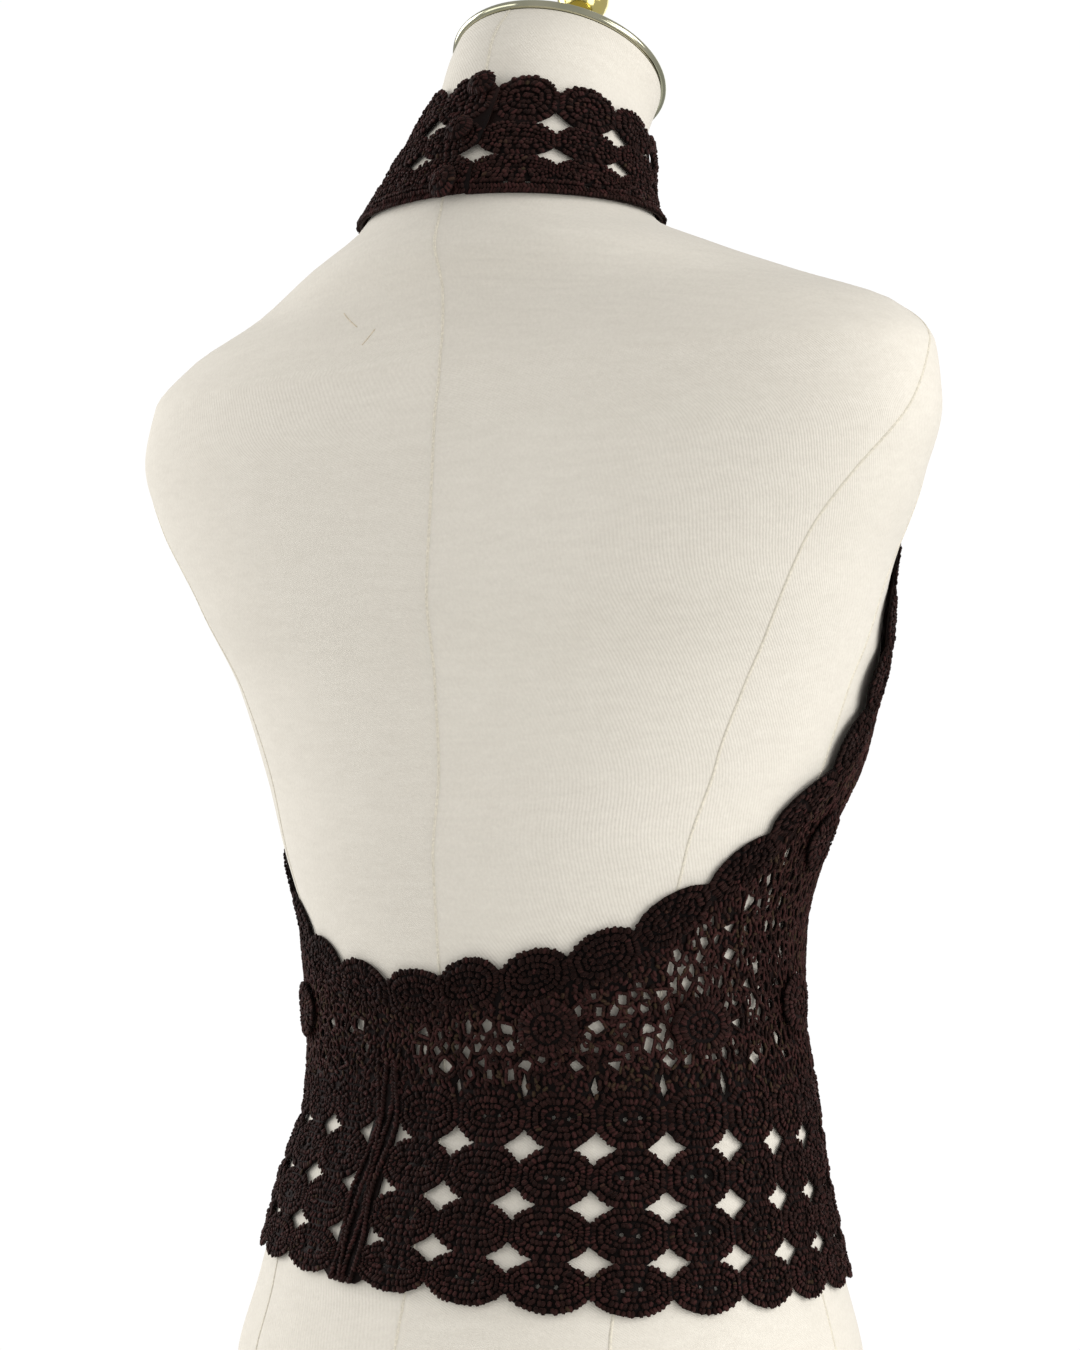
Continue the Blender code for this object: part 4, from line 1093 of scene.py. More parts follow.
@dataclass(frozen=True)
class NetGaps:
    """The net's gaps as rings of chart places, in one panel: the widest ones, and smaller ones between them.

    A band is the bottom, the top, the distance apart and the row height of the wide gaps' uneven grid. Small
    gaps are left out at random: most of them by the seam, half of them round the centre front.
    """

    middle: float
    low: float
    high: float
    bands: tuple[tuple[float, float, float, float], ...] = (
        (0.2175, 0.268, 0.0205, 0.0155),
        (0.2745, 0.580, 0.0340, 0.0225),
    )
    reach: int = 20
    half: float = 0.0043
    wider: float = 1.12
    jitter: Pair = (0.0022, 0.0014)
    wobble: Pair = (0.82, 1.18)
    pulled: Pair = (0.0, 0.42)
    pull_varies: Pair = (0.3, 1.2)
    seed: int = 11
    small_from: float = 0.2135
    small_reach: float = 0.26
    small_apart: float = 0.0054
    small_rise: float = 0.0055
    small_jitter: Pair = (0.0016, 0.0015)
    small_half: Pair = (0.0011, 0.0030)
    small_wobble: Pair = (0.7, 1.3)
    small_tall: Pair = (0.9, 1.5)
    side_taller: float = 0.8
    side_from: float = 0.14
    keep_off: float = 0.0057
    above_ovals: float = 0.005
    dense_at: float = SEAM_AT - 0.012
    dense_reach: float = 0.034
    front_reach: float = 0.20
    open_shares: tuple[float, float, float] = (0.15, 0.5, 0.9)
    small_seed: int = 23

    def wide(self) -> list[Array]:
        """The gaps that the solid panel has: three or four corners about an uneven grid's points."""
        rng = np.random.default_rng(self.seed)
        border, disc = BORDER_HALF + 1.55 * self.half, ROSETTE_RADIUS + self.half
        margins = Margins(border=border, collar=0.016, disc=disc, seam=0.014, cut=0.008)
        rings = []
        for bottom, top, apart, rise in self.bands:
            rows = enumerate(np.arange(bottom, top, rise))
            for (row, level), column in product(rows, range(-self.reach, self.reach + 1)):
                move = rng.uniform(-1, 1, 2) * self.jitter
                sides = 3 + rng.integers(0, 2)
                radii = self.half * rng.uniform(*self.wobble, sides)
                angles = rng.uniform(0, 2 * math.pi) + turns(sides)
                height = level + move[1]
                across = (column + 0.5 * (row % 2)) * apart + move[0]
                share = self.middle + across / float(CHART.girth(height))
                if self.low < share < self.high and margins.kept_by(np.array([[share, height]]))[0]:
                    rings.append(CHART.ring(np.array([share, height]), radii, angles, self.wider))
        rng = np.random.default_rng(self.small_seed + 1)
        return [self.ragged(ring, rng) for ring in rings]

    def ragged(self, ring: Array, rng: np.random.Generator) -> Array:
        """A gap's ring with a point more on each side, and all of them drawn in unevenly."""
        sides = (ring + np.roll(ring, -1, axis=0)) / 2
        both = np.stack([ring, sides], axis=1).reshape(-1, 2)
        inwards = (ring.mean(axis=0) - both) * rng.uniform(*self.pulled, (len(both), 1))
        return both + inwards * rng.uniform(*self.pull_varies)

    def small(self, wide: list[Array]) -> list[Array]:
        """Smaller ragged gaps, where they miss the wide ones.

        Args:
            wide: The wide gaps.

        Returns:
            More rings of chart places, of four or five corners.
        """
        rng = np.random.default_rng(self.small_seed)
        rows = np.arange(self.small_from, COLLAR_BOTTOM, self.small_rise)
        across = np.arange(-self.small_reach, self.small_reach, self.small_apart)
        flat = np.stack(np.meshgrid(across, rows), axis=-1)
        flat[::2, :, 0] += self.small_apart / 2
        flat = flat.reshape(-1, 2) + rng.uniform(-1, 1, (flat.size // 2, 2)) * self.small_jitter
        size = CHART.girth(flat[:, 1])
        share, height = self.middle + flat[:, 0] / size, flat[:, 1]
        places = np.stack([share, height], axis=-1)
        border, disc = BORDER_HALF + 0.0022, ROSETTE_RADIUS - 0.002
        margins = Margins(border=border, collar=0.006, disc=disc, seam=0.011, cut=0.0035)
        keep = margins.kept_by(places) & (share > self.low) & (share < self.high)
        keep &= height > hip_place(0, ROWS)[1] + self.above_ovals
        near = ((self.dense_at, self.dense_reach), (0.5, self.front_reach))
        zones = [share_apart(share, middle) < reach for middle, reach in near]
        by_seam, in_front, elsewhere = self.open_shares
        keep &= rng.uniform(0, 1, len(places)) < np.select(zones, [by_seam, in_front], elsewhere)
        centres = np.array([ring.mean(axis=0) for ring in wide])
        apart = (share[:, None] - centres[:, 0]) * size[:, None]
        keep &= np.hypot(apart, height[:, None] - centres[:, 1]).min(axis=1) > self.keep_off
        made = []
        for place in places[keep]:
            sides = rng.integers(4, 6)
            radii = rng.uniform(*self.small_half) * rng.uniform(*self.small_wobble, sides)
            angles = rng.uniform(0, 2 * math.pi) + turns(sides)
            taller = self.side_taller * (abs(place[0] - round(place[0])) > self.side_from)
            made.append(CHART.ring(place, radii, angles, tall=rng.uniform(*self.small_tall) + taller))
        return made


class FlatCloth:
    """A panel of cloth, drawn flat on the chart as its outline, its gaps and the points that it follows."""

    # The panel has no lit attribute, which reads as 0, so the yarn material paints it all in its painted
    # shade colour and this tone does not show.
    TONE = 0.22
    HOLE_REACH = 0.006

    def __init__(self, name: str, middle: float) -> None:
        """Starts an empty panel.

        Args:
            name: The piece's name.
            middle: The share that its flat drawing is laid about.
        """
        self.name = name
        self.middle = middle
        self.points: list[Array] = []
        self.edges: list[Array] = []
        self.outline = np.zeros((0, 2))
        self.gaps: list[Array] = []
        self.count = 0

    def flatten(self, places: Array) -> Array:
        """Chart places as flat points in metres about the panel's middle."""
        return np.stack([(places[:, 0] - self.middle) * CHART.girth(places[:, 1]), places[:, 1]], axis=-1)

    def spread(self, flat: Array) -> Array:
        """Flat points as chart places again."""
        return np.stack([self.middle + flat[:, 0] / CHART.girth(flat[:, 1]), flat[:, 1]], axis=-1)

    def grid(self, bottom: float, apart: float, rise: float) -> Array:
        """An even grid of flat points over the outline's width, from a height up to its top."""
        low, high = self.outline.min(axis=0), self.outline.max(axis=0)
        across, up = np.meshgrid(np.arange(low[0], high[0], apart), np.arange(bottom, high[1], rise))
        return np.stack([across, up], axis=-1).reshape(-1, 2)

    def add(self, places: Array) -> None:
        """Adds loose points."""
        self.points.append(self.flatten(places))
        self.count += len(places)

    def ring(self, places: Array) -> Array:
        """Adds a closed line that the triangles keep to, and gives its flat points."""
        numbers = self.count + np.arange(len(places))
        self.edges.append(np.stack([numbers, np.roll(numbers, -1)], axis=-1))
        self.add(places)
        return self.points[-1]

    def cut(self, places: Array) -> None:
        """Cuts a gap along a closed line."""
        self.gaps.append(self.ring(places))

    def trim(self, places: Array) -> None:
        """Sets the outline."""
        self.outline = self.ring(places)

    def off_gaps(self, flat: Array) -> Array:
        """Which flat points miss all of the panel's gaps."""
        off = np.ones(len(flat), bool)
        for gap in self.gaps:
            near = np.flatnonzero(np.abs(flat - gap.mean(axis=0)).max(axis=1) < np.ptp(gap, axis=0).max())
            off[near] &= ~inside(flat[near], gap)
        return off

    def off_holes(self, grains: Grains, holes: list[Array], wider: float = 0.9) -> Grains:
        """The grains whose middles miss some small holes, each made wider by a share of its size."""
        flat = self.flatten((grains.start + grains.end) / 2)
        keep = np.ones(len(flat), bool)
        for hole in holes:
            ring = self.flatten(hole)
            middle = ring.mean(axis=0)
            near = np.flatnonzero(np.abs(flat - middle).max(axis=1) < self.HOLE_REACH)
            keep[near] &= ~inside(flat[near], ring + (ring - middle) * wider)
        return grains.kept(keep)

    def triangles(self) -> tuple[Array, Array]:
        """The flat points and the triangles between the outline and the gaps, facing outwards."""
        flat, back = np.unique(np.round(np.concatenate(self.points), 6), axis=0, return_inverse=True)
        edges = np.unique(np.sort(back.ravel()[np.concatenate(self.edges)], axis=1), axis=0)
        edges = edges[edges[:, 0] != edges[:, 1]]
        found = delaunay_2d_cdt([Vector(point) for point in flat], edges.tolist(), [], 0, 1e-7, False)
        points, faces = np.array([tuple(point) for point in found[0]]), np.array(found[2])
        middles = points[faces].mean(axis=1)
        faces = faces[inside(middles, self.outline) & self.off_gaps(middles)]
        first, second = points[faces[:, 1]] - points[faces[:, 0]], points[faces[:, 2]] - points[faces[:, 0]]
        turned = first[:, 0] * second[:, 1] - first[:, 1] * second[:, 0] < 0
        faces[turned] = faces[turned][:, ::-1]
        used, numbers = np.unique(faces, return_inverse=True)
        return points[used], numbers.reshape(-1, 3)

    def mesh(self, clear: Callable[[Array], Array]) -> bpy.types.Mesh:
        """The panel laid on the form.

        Args:
            clear: How far it stands off the form, from chart places.

        Returns:
            The mesh, with the point attribute tone and no lit, so the yarn material paints it all in painted
            shade.
        """
        flat, faces = self.triangles()
        places = self.spread(flat)
        points = CHART.wrap(places, clear(places) + ROUTE.lift(places))
        first, second, third = (points[faces[:, k]] for k in range(3))
        area = np.linalg.norm(np.cross(second - first, third - first), axis=1).sum() / 2
        LOG.info("%s: flat area %.4f m2, spread %.4f by %.4f m", self.name, area, *np.ptp(flat, axis=0))
        return make_mesh(self.name, points, [faces], tone=self.TONE)


def cell(lattice: Lattice, column: Number, row: Number) -> Lattice:
    """The local x and y of a lattice's ovals, as a function to chart places."""
    return lambda x, y: lattice(column + 0.5 + OVAL * np.asarray(x) / 2, row + 0.5 + OVAL * np.asarray(y) / 2)


def arc(at: Lattice, degrees: Iterable[float], radius: float = SHELL_EDGE) -> Array:
    """Chart places along an oval at the given turns."""
    angles = np.radians(np.fromiter(degrees, float))
    return at(radius * np.cos(angles), radius * np.sin(angles))


def star(lattice: Lattice, column: float, row: float, quarters: Sequence[int] = range(4)) -> Array:
    """The four-pointed gap where four ovals meet, or the quarters of it that are given.

    Each quarter follows the neighbour oval's arc, from FLAT_DEGREES before its diagonal to as much after.

    Args:
        lattice: Gives chart places from columns and rows.
        column: The corner's column.
        row: The corner's row.
        quarters: Quarter turns from the upper right, against the clock.

    Returns:
        Chart places round the gap.
    """
    made = []
    for quarter in quarters:
        diagonal = math.radians(45 + 90 * quarter)
        side = np.sign([math.cos(diagonal), math.sin(diagonal)]) / 2
        sweep = diagonal + math.pi + np.radians(np.linspace(FLAT_DEGREES, -FLAT_DEGREES, STAR_STEPS))
        x = column + side[0] + SHELL_EDGE * OVAL / 2 * np.cos(sweep)
        y = row + side[1] + SHELL_EDGE * OVAL / 2 * np.sin(sweep)
        made.append(lattice(x, y)[: -1 if len(quarters) == 4 else None])
    return np.concatenate(made)


def hem_line(first: int, last: int) -> Array:
    """The scalloped hem under the columns from first to last, straight across the seam's strip."""
    parts = []
    for column in range(first, last):
        if is_seam(column):
            parts.append(hip_place([column, column + 0.5, column + 1], SEAM_FOOT))
            continue
        low = 225 if is_seam(column - 1) else 180 + FLAT_DEGREES
        high = 315 if is_seam(column + 1) else 360 - FLAT_DEGREES
        parts.append(arc(cell(hip_place, column, 0), np.linspace(low, high, HEM_STEPS)))
    return np.concatenate(parts)


def side_line(column: int, side: int) -> Array:
    """The side cut between two columns of ovals, upwards, round half of each gap that it meets."""
    parts = [hip_place([column], [GAP_TIP / 2])]
    for row in range(1, ROWS):
        half = star(hip_place, column, row, (1, 2) if side > 0 else (3, 0))
        parts.append(half[::-1] if side > 0 else half)
    return np.concatenate(parts + [hip_place([column], [ROWS])])


def cut_line(side: int) -> Array:
    """The side cut above the ovals, upwards, and through the border."""
    low, top = cut_ends(side)
    height = np.linspace(low[1], top[1], CUT_STEPS + 1)[1:]
    line = np.stack([cut_share(side, height), height], axis=-1)
    return np.concatenate([line, [ROUTE.chord(CUT_MOTIF, out, side) for out in (0, 1)]])


def border_line(first: int, last: int, side: int) -> Array:
    """The outer scallops of the border's motifs, without the ends."""
    parts = []
    for motif in range(first, last):
        parts.append(arc(lambda x, y: ROUTE.place(np.full(len(x), motif), side, x, y), UPPER_TURNS))
        if motif + 1 < last:
            parts.append(ROUTE.chord(motif + 1, 1, side)[None])
    return np.concatenate(parts)


def moved(places: Array) -> Array:
    """Chart places one turn on."""
    return places + (1, 0)


@dataclass(frozen=True)
class NetWork:
    """The yarn of the net: short lengths in all directions on its ground, and a cord round each gap.

    Towards the outlines the lengths are drawn upright, from one distance off the centre back to another.
    """

    apart: float = 0.0024
    rise: float = 0.0025
    length: float = 0.0033
    half_width: float = 0.00088
    clear: float = 0.0028
    clear_spread: float = 0.00045
    turn_spread: float = 0.75
    drawn_from: float = 0.12
    drawn_over: float = 0.05
    drawn: float = 0.55
    nook: float = 0.0046
    off_ends: float = 0.6
    tones: Pair = (0.60, 0.30)
    edge_length: float = 0.0026
    edge_half: float = 0.00080
    edge_out: float = 0.0004
    edge_lift: float = 0.0003
    edge_over: float = 0.18
    edge_tones: Pair = (0.55, 0.25)
    seed: int = 5
    front_reach: float = NetGaps.front_reach

    def ground(self, cloth: FlatCloth, front: bool) -> Grains:
        """Lengths of yarn on an uneven grid, kept where they lie on the net and off its gaps.

        Args:
            cloth: The panel.
            front: Whether they lie round the centre front, or all round the rest.

        Returns:
            The grains.
        """
        rng = np.random.default_rng(self.seed)
        flat = cloth.grid(hip_place(0, ROWS)[1] - HANG_TILT, self.apart, self.rise)
        flat = flat + rng.uniform(-0.5, 0.5, flat.shape) * (self.apart, self.rise)
        places = cloth.spread(flat)
        share = places[:, 0]
        drawn = np.clip((share_apart(share, 0) - self.drawn_from) / self.drawn_over, 0, 1) * (not front)
        turn = math.pi / 2 + rng.normal(0, self.turn_spread, len(flat)) * (1 - self.drawn * drawn)
        way = np.stack([np.cos(turn), np.sin(turn)], axis=-1) * self.length / 2
        border, disc = BORDER_HALF - 0.005, 0.8 * ROSETTE_RADIUS
        margins = Margins(border=border, collar=-0.004, disc=disc, seam=-1.0, cut=-1.0)
        keep = margins.kept_by(places) & inside(flat, cloth.outline)
        keep &= (share_apart(share, 0.5) < self.front_reach) == front
        corners = hip_place(np.arange(LAP + max(BACK_COLUMNS)), ROWS)
        keep &= (nearest(flat, cloth.flatten(corners)) < self.nook) | (places[:, 1] > self.ovals_top(share))
        flat, way = flat[keep], way[keep]
        reaches = (0, -self.off_ends, self.off_ends)
        keep = np.all([cloth.off_gaps(flat + reach * way) for reach in reaches], axis=0)
        flat, way = flat[keep], way[keep]
        clear = self.clear + rng.uniform(-1, 1, len(flat)) * self.clear_spread
        tilt = rng.uniform(-1, 1, len(flat)) * self.clear_spread
        tone = np.clip(rng.normal(*self.tones, len(flat)), 0, 1)
        ends = cloth.spread(flat - way), cloth.spread(flat + way)
        return Grains.of(*ends, (clear - tilt, clear + tilt), self.half_width, GRAIN_HALF, tone)

    @staticmethod
    def ovals_top(share: Array) -> Array:
        """The height of the top of the hips' ovals at some shares."""
        fade = (HANG_ENDS - ROW_EDGES[-1]) / (HANG_ENDS - HANG_STARTS)
        return ROW_EDGES[-1] + fade * hang(share)[..., 1]

    def edges(self, cloth: FlatCloth, rings: list[Array]) -> Grains:
        """A cord round each gap, as grains laid end to end just outside its corners.

        Args:
            cloth: The panel.
            rings: The gaps, as chart places.

        Returns:
            The grains.
        """
        rng = np.random.default_rng(self.seed + 1)
        starts, ends = [], []
        for ring in rings:
            flat = cloth.flatten(ring)
            out = flat + unit(flat - flat.mean(axis=0)) * self.edge_out
            way = np.roll(out, -1, axis=0) - out
            pieces = np.maximum(1, np.round(np.linalg.norm(way, axis=1) / self.edge_length)).astype(int)
            which = np.repeat(np.arange(len(out)), pieces)
            step = np.concatenate([np.arange(count) for count in pieces])[:, None]
            share = pieces[which][:, None]
            over = self.edge_over * rng.uniform(0.5, 1.5, (len(which), 1))
            starts.append(out[which] + way[which] * (step - over) / share)
            ends.append(out[which] + way[which] * (step + 1 + over) / share)
        start, end = np.concatenate(starts), np.concatenate(ends)
        clear = self.clear + self.edge_lift + rng.uniform(-1, 1, len(start)) * self.clear_spread / 2
        tone = np.clip(rng.normal(*self.edge_tones, len(start)), 0, 1)
        places = cloth.spread(start), cloth.spread(end)
        return Grains.of(*places, (clear, clear), self.edge_half, GRAIN_HALF, tone)


@dataclass(frozen=True)
class Cord:
    """A twisted cord along a line of chart places."""

    pitch: float
    length: float
    lean: float
    half_width: float
    half_height: float = 0.00075
    clear: float = GRAIN_CLEAR
    tones: Pair = (0.45, 0.18)
    turn_jitter: float = 0.3
    length_jitter: Pair = (0.75, 1.25)

    def grains(self, line: Array, rng: np.random.Generator) -> Grains:
        """The cord's plies: one grain each pitch, turned by the lean from the line's way.

        Args:
            line: Chart places.
            rng: The source of unevenness.

        Returns:
            The grains.
        """
        steps = np.linalg.norm(CHART.steps(line[:-1], line[1:]), axis=-1)
        along = np.concatenate([[0], np.cumsum(steps)])
        at = np.arange(self.pitch / 2, along[-1], self.pitch)
        reach = np.stack([at - self.pitch / 4, at, at + self.pitch / 4])
        behind, places, ahead = np.stack([np.interp(reach, along, line[:, k]) for k in (0, 1)], axis=-1)
        way = CHART.steps(behind, ahead)
        jitter = rng.uniform(-self.turn_jitter, self.turn_jitter, len(at))
        turn = np.arctan2(way[:, 1], way[:, 0]) + self.lean + jitter
        length = self.length * rng.uniform(*self.length_jitter, len(at))
        across, rise = np.cos(turn) * length / 2, np.sin(turn) * length / 2
        tone = np.clip(rng.normal(*self.tones, len(at)), 0, 1)
        ends = CHART.shift(places, -across, -rise), CHART.shift(places, across, rise)
        clear = self.clear + rng.uniform(-0.5, 0.5, len(at)) * self.half_height
        return Grains.of(*ends, (clear, clear), self.half_width, self.half_height, tone)


@dataclass
class Sheet:
    """A cut of cloth: the CAD node that it stands for, its columns of ovals, and its flat size and area."""

    name: str
    columns: tuple[int, int]
    flat: Pair
    area: float
    middle: float

    def __post_init__(self) -> None:
        """Starts the flat drawing."""
        self.cloth = FlatCloth(self.name + "_cloth", self.middle)
        self.holes: list[Array] = []

    def clear(self, places: Array) -> Array:
        """How far the shell stands off the form."""
        return np.full(len(places), SHELL_FACE)

    def open_hole(self, hole: Array) -> None:
        """Cuts a small hole that the stitches keep off as well."""
        self.holes.append(hole)
        self.cloth.cut(hole)

    def shell(self, yarn: bpy.types.Material) -> bpy.types.Object:
        """Adds the cloth itself, with its thickness inwards, all in the yarn's painted shade colour."""
        piece = add_piece(self.cloth.mesh(self.clear), Slot.YARN, yarn, [self.name])
        wall = piece.modifiers.new("wall", "SOLIDIFY")
        wall.thickness = SHELL_THICK
        wall.offset = -1
        return piece

    def declare(self, shell: bpy.types.Object, pieces: list[bpy.types.Object]) -> None:
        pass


def lattice_grains(
    lattice: Lattice,
    motifs: Array,
    touching: Array,
    rounds: OvalRounds,
    rng: np.random.Generator,
    clear: float = 0.0,
) -> Grains:
    """The stitches of a lattice's ovals.

    Args:
        lattice: Gives chart places from columns and rows.
        motifs: Each oval's column and row.
        touching: For each oval, whether it touches on its right, top, left and bottom.
        rounds: The rounds of stitches.
        rng: The source of unevenness.
        clear: What to add to every distance off the form.

    Returns:
        The grains.
    """
    column, row = motifs.T
    halves = np.abs(CHART.steps(lattice(column, row), lattice(column + 1, row + 1))) / 2

    def at(which: Array, x: Array, y: Array) -> Array:
        """Chart places in some of the ovals."""
        return cell(lattice, column[which], row[which])(x, y)

    return rounds.grains(at, halves, touching, rng, clear)


@dataclass
class TopPanel(Sheet):
    """One half of the tube: its shell, with everything crocheted on it."""

    shell_ring: int = 12
    shell_step: float = 0.008
    slit: tuple[Pair, ...] = ((0.01, 0.26), (-0.058, 0.05), (-0.02, -0.17), (0.052, -0.02))
    slit_varies: Pair = (0.7, 1.3)
    slits_open: float = 0.75
    eyelet_at: float = 0.20
    eyelet_radius: float = 0.0011
    eyelet_jitter: float = 0.05
    eyelet_sides: int = 5
    eyelets_open: float = 0.7
    eyelets_from_width: float = 0.0265
    holes_seed: int = 7
    net_past_cut: float = 0.02
    border_lift: float = 0.0002

    def outline(self) -> list[Array]:
        """The panel's outline, part by part."""
        raise NotImplementedError

    def draw(self) -> list[Array]:
        """Draws the outline, the ovals and the net, and gives the net's gaps."""
        self.cloth.trim(np.concatenate(self.outline()))
        self.draw_ovals()
        self.draw_holes(np.random.default_rng(self.holes_seed))
        rings = self.draw_net()
        flat = self.cloth.grid(ROW_EDGES[-1] + self.shell_step, self.shell_step, self.shell_step)
        flat = flat[inside(flat, self.cloth.outline) & self.cloth.off_gaps(flat)]
        self.cloth.add(self.cloth.spread(flat))
        return rings

    def draw_ovals(self) -> None:
        """Draws the ovals of the hips and the gaps between them."""
        first, last = self.columns
        self.motifs = np.array([(c, r) for c in range(first, last) if not is_seam(c) for r in range(ROWS)])
        degrees = np.arange(self.shell_ring) * 360 / self.shell_ring
        for column, row in self.motifs:
            self.cloth.add(arc(cell(hip_place, column, row), degrees, INNER_RING))
            self.cloth.add(hip_place([column + 0.5], [row + 0.5]))
        for edge in range(first + 1, last):
            quarters = (1, 2) if is_seam(edge) else (3, 0) if is_seam(edge - 1) else range(4)
            for row in range(1, ROWS):
                self.cloth.cut(star(hip_place, edge, row, quarters))

    def draw_holes(self, rng: np.random.Generator) -> None:
        """Cuts the slits between the top row's ovals, and the two eyelets in most of the wide ovals."""
        first, last = self.columns
        for edge in range(first + 1, last):
            if rng.uniform() < self.slits_open and not (is_seam(edge) or is_seam(edge - 1)):
                spread = np.array(self.slit) * rng.uniform(*self.slit_varies, (len(self.slit), 2))
                self.open_hole(hip_place(edge + spread[:, 0], ROWS + spread[:, 1]))
        for column, row in self.motifs:
            start, end = hip_place([column, column + 1], [row + 0.5] * 2)
            wide = float(CHART.steps(start, end)[0]) > self.eyelets_from_width
            if wide and rng.uniform() < self.eyelets_open:
                for side in (-1, 1):
                    rise = rng.uniform(-self.eyelet_jitter, self.eyelet_jitter)
                    middle = cell(hip_place, column, row)(side * self.eyelet_at, rise)
                    self.open_hole(CHART.ring(middle, self.eyelet_radius, turns(self.eyelet_sides)))

    def draw_net(self) -> list[Array]:
        """Cuts the net's gaps, and gives them."""
        low, high = (float(column_share(column)) for column in self.columns)
        gaps = NetGaps(self.middle, low - self.net_past_cut, high + self.net_past_cut)
        wide = gaps.wide()
        rings = wide + gaps.small(wide)
        kept = [ring for ring in rings if inside(self.cloth.flatten(ring), self.cloth.outline).all()]
        for ring in kept:
            self.cloth.cut(ring)
        return kept

    def oval_grains(self, rounds: OvalRounds, rng: np.random.Generator) -> Grains:
        """The stitches of the hips' ovals, which are free along the hem."""
        touching = np.ones((len(self.motifs), 4), bool)
        touching[:, 3] = self.motifs[:, 1] > 0
        return self.cloth.off_holes(lattice_grains(hip_place, self.motifs, touching, rounds, rng), self.holes)

    def border_grains(self, rounds: OvalRounds, first: int, last: int, rng: np.random.Generator) -> Grains:
        """The stitches of the border's ovals on both sides, from one motif to another."""
        motif = np.tile(np.arange(first, last), 2)
        side = np.repeat([1, -1], last - first)

        def at(which: Array, x: Array, y: Array) -> Array:
            """Chart places in some of the border's motifs."""
            return ROUTE.place(motif[which].astype(float), side[which], x, y)

        long = (ROUTE.edge(motif + 1) - ROUTE.edge(motif)) / 2
        halves = np.stack([long, np.full(len(long), BORDER_HALF)], axis=-1)
        touching = np.tile([True, False, True, False], (len(motif), 1))
        return rounds.grains(at, halves, touching, rng, self.border_lift)


class BackPanel(TopPanel):
    """The back of the tube, from one side cut to the other, with the seam left of the centre."""

    def outline(self) -> list[Array]:
        """The hem, the right side, the border's top edge and the left side."""
        first, last = self.columns
        return [
            hem_line(first, last),
            side_line(last, 1),
            moved(cut_line(1)),
            moved(border_line(0, CUT_MOTIF, 1))[::-1],
            moved(ROUTE.chord(0, 1, 1)[None]),
            moved(border_line(0, CUT_MOTIF, -1)),
            moved(cut_line(-1))[::-1],
            side_line(first, -1)[::-1],
        ]


class FrontPanel(TopPanel):
    """The front of the tube, and the bib above it up to the collar."""

    def outline(self) -> list[Array]:
        """The hem, the left side and armhole, the collar's lower edge, and the right armhole and side."""
        first, last = self.columns
        start, end = moved(ROUTE.chord(BORDER_MOTIFS, 1, -1)[None]), ROUTE.chord(BORDER_MOTIFS, 1, 1)[None]
        share = np.linspace(start[0, 0], end[0, 0], BIB_STEPS)[1:-1]
        return [
            hem_line(first, last),
            side_line(last, 1),
            moved(cut_line(-1)),
            moved(border_line(CUT_MOTIF, BORDER_MOTIFS, -1)),
            start,
            np.stack([share, collar_bottom(share) - 2 * GAP], axis=-1),
            end,
            border_line(CUT_MOTIF, BORDER_MOTIFS, 1)[::-1],
            cut_line(1)[::-1],
            side_line(first, -1)[::-1],
        ]


@dataclass(frozen=True)
class SeamRope:
    """The joining seam: loose twisted cords side by side, and one across their foot."""

    columns: tuple[float, ...] = (0.10, 0.37, 0.64, 0.90)
    sway: float = 0.08
    sway_pace: float = 2.6
    above: float = 0.45
    pitch: float = 0.0016
    length: float = 0.0031
    half: float = 0.0009
    stagger: float = 0.0002
    foot_columns: Pair = (0.05, 0.95)
    foot_row: float = 0.02
    steps: int = 60
    foot_steps: int = 12

    def cord(self, lean: float, lift: float) -> Cord:
        """A cord that leans and lies off the others by a little."""
        return Cord(self.pitch, self.length, lean, self.half, self.half, GRAIN_CLEAR + lift)

    def grains(self, rng: np.random.Generator) -> Grains:
        """The cords, from the hem to the net, each swaying as a sine and leaning against the next."""
        rows = np.linspace(SEAM_FOOT, ROWS + self.above, self.steps)
        parts = []
        for i, column in enumerate(self.columns):
            line = hip_place(COLUMNS + column + self.sway * np.sin(self.sway_pace * rows + 2 * i), rows)
            parts.append(self.cord(1.0 if i % 2 else -1.0, self.stagger * (i % 2)).grains(line, rng))
        low, high = self.foot_columns
        foot = hip_place(np.linspace(COLUMNS + low, COLUMNS + high, self.foot_steps), self.foot_row)
        parts.append(self.cord(1.0, -self.stagger).grains(foot, rng))
        return Grains.join(parts)


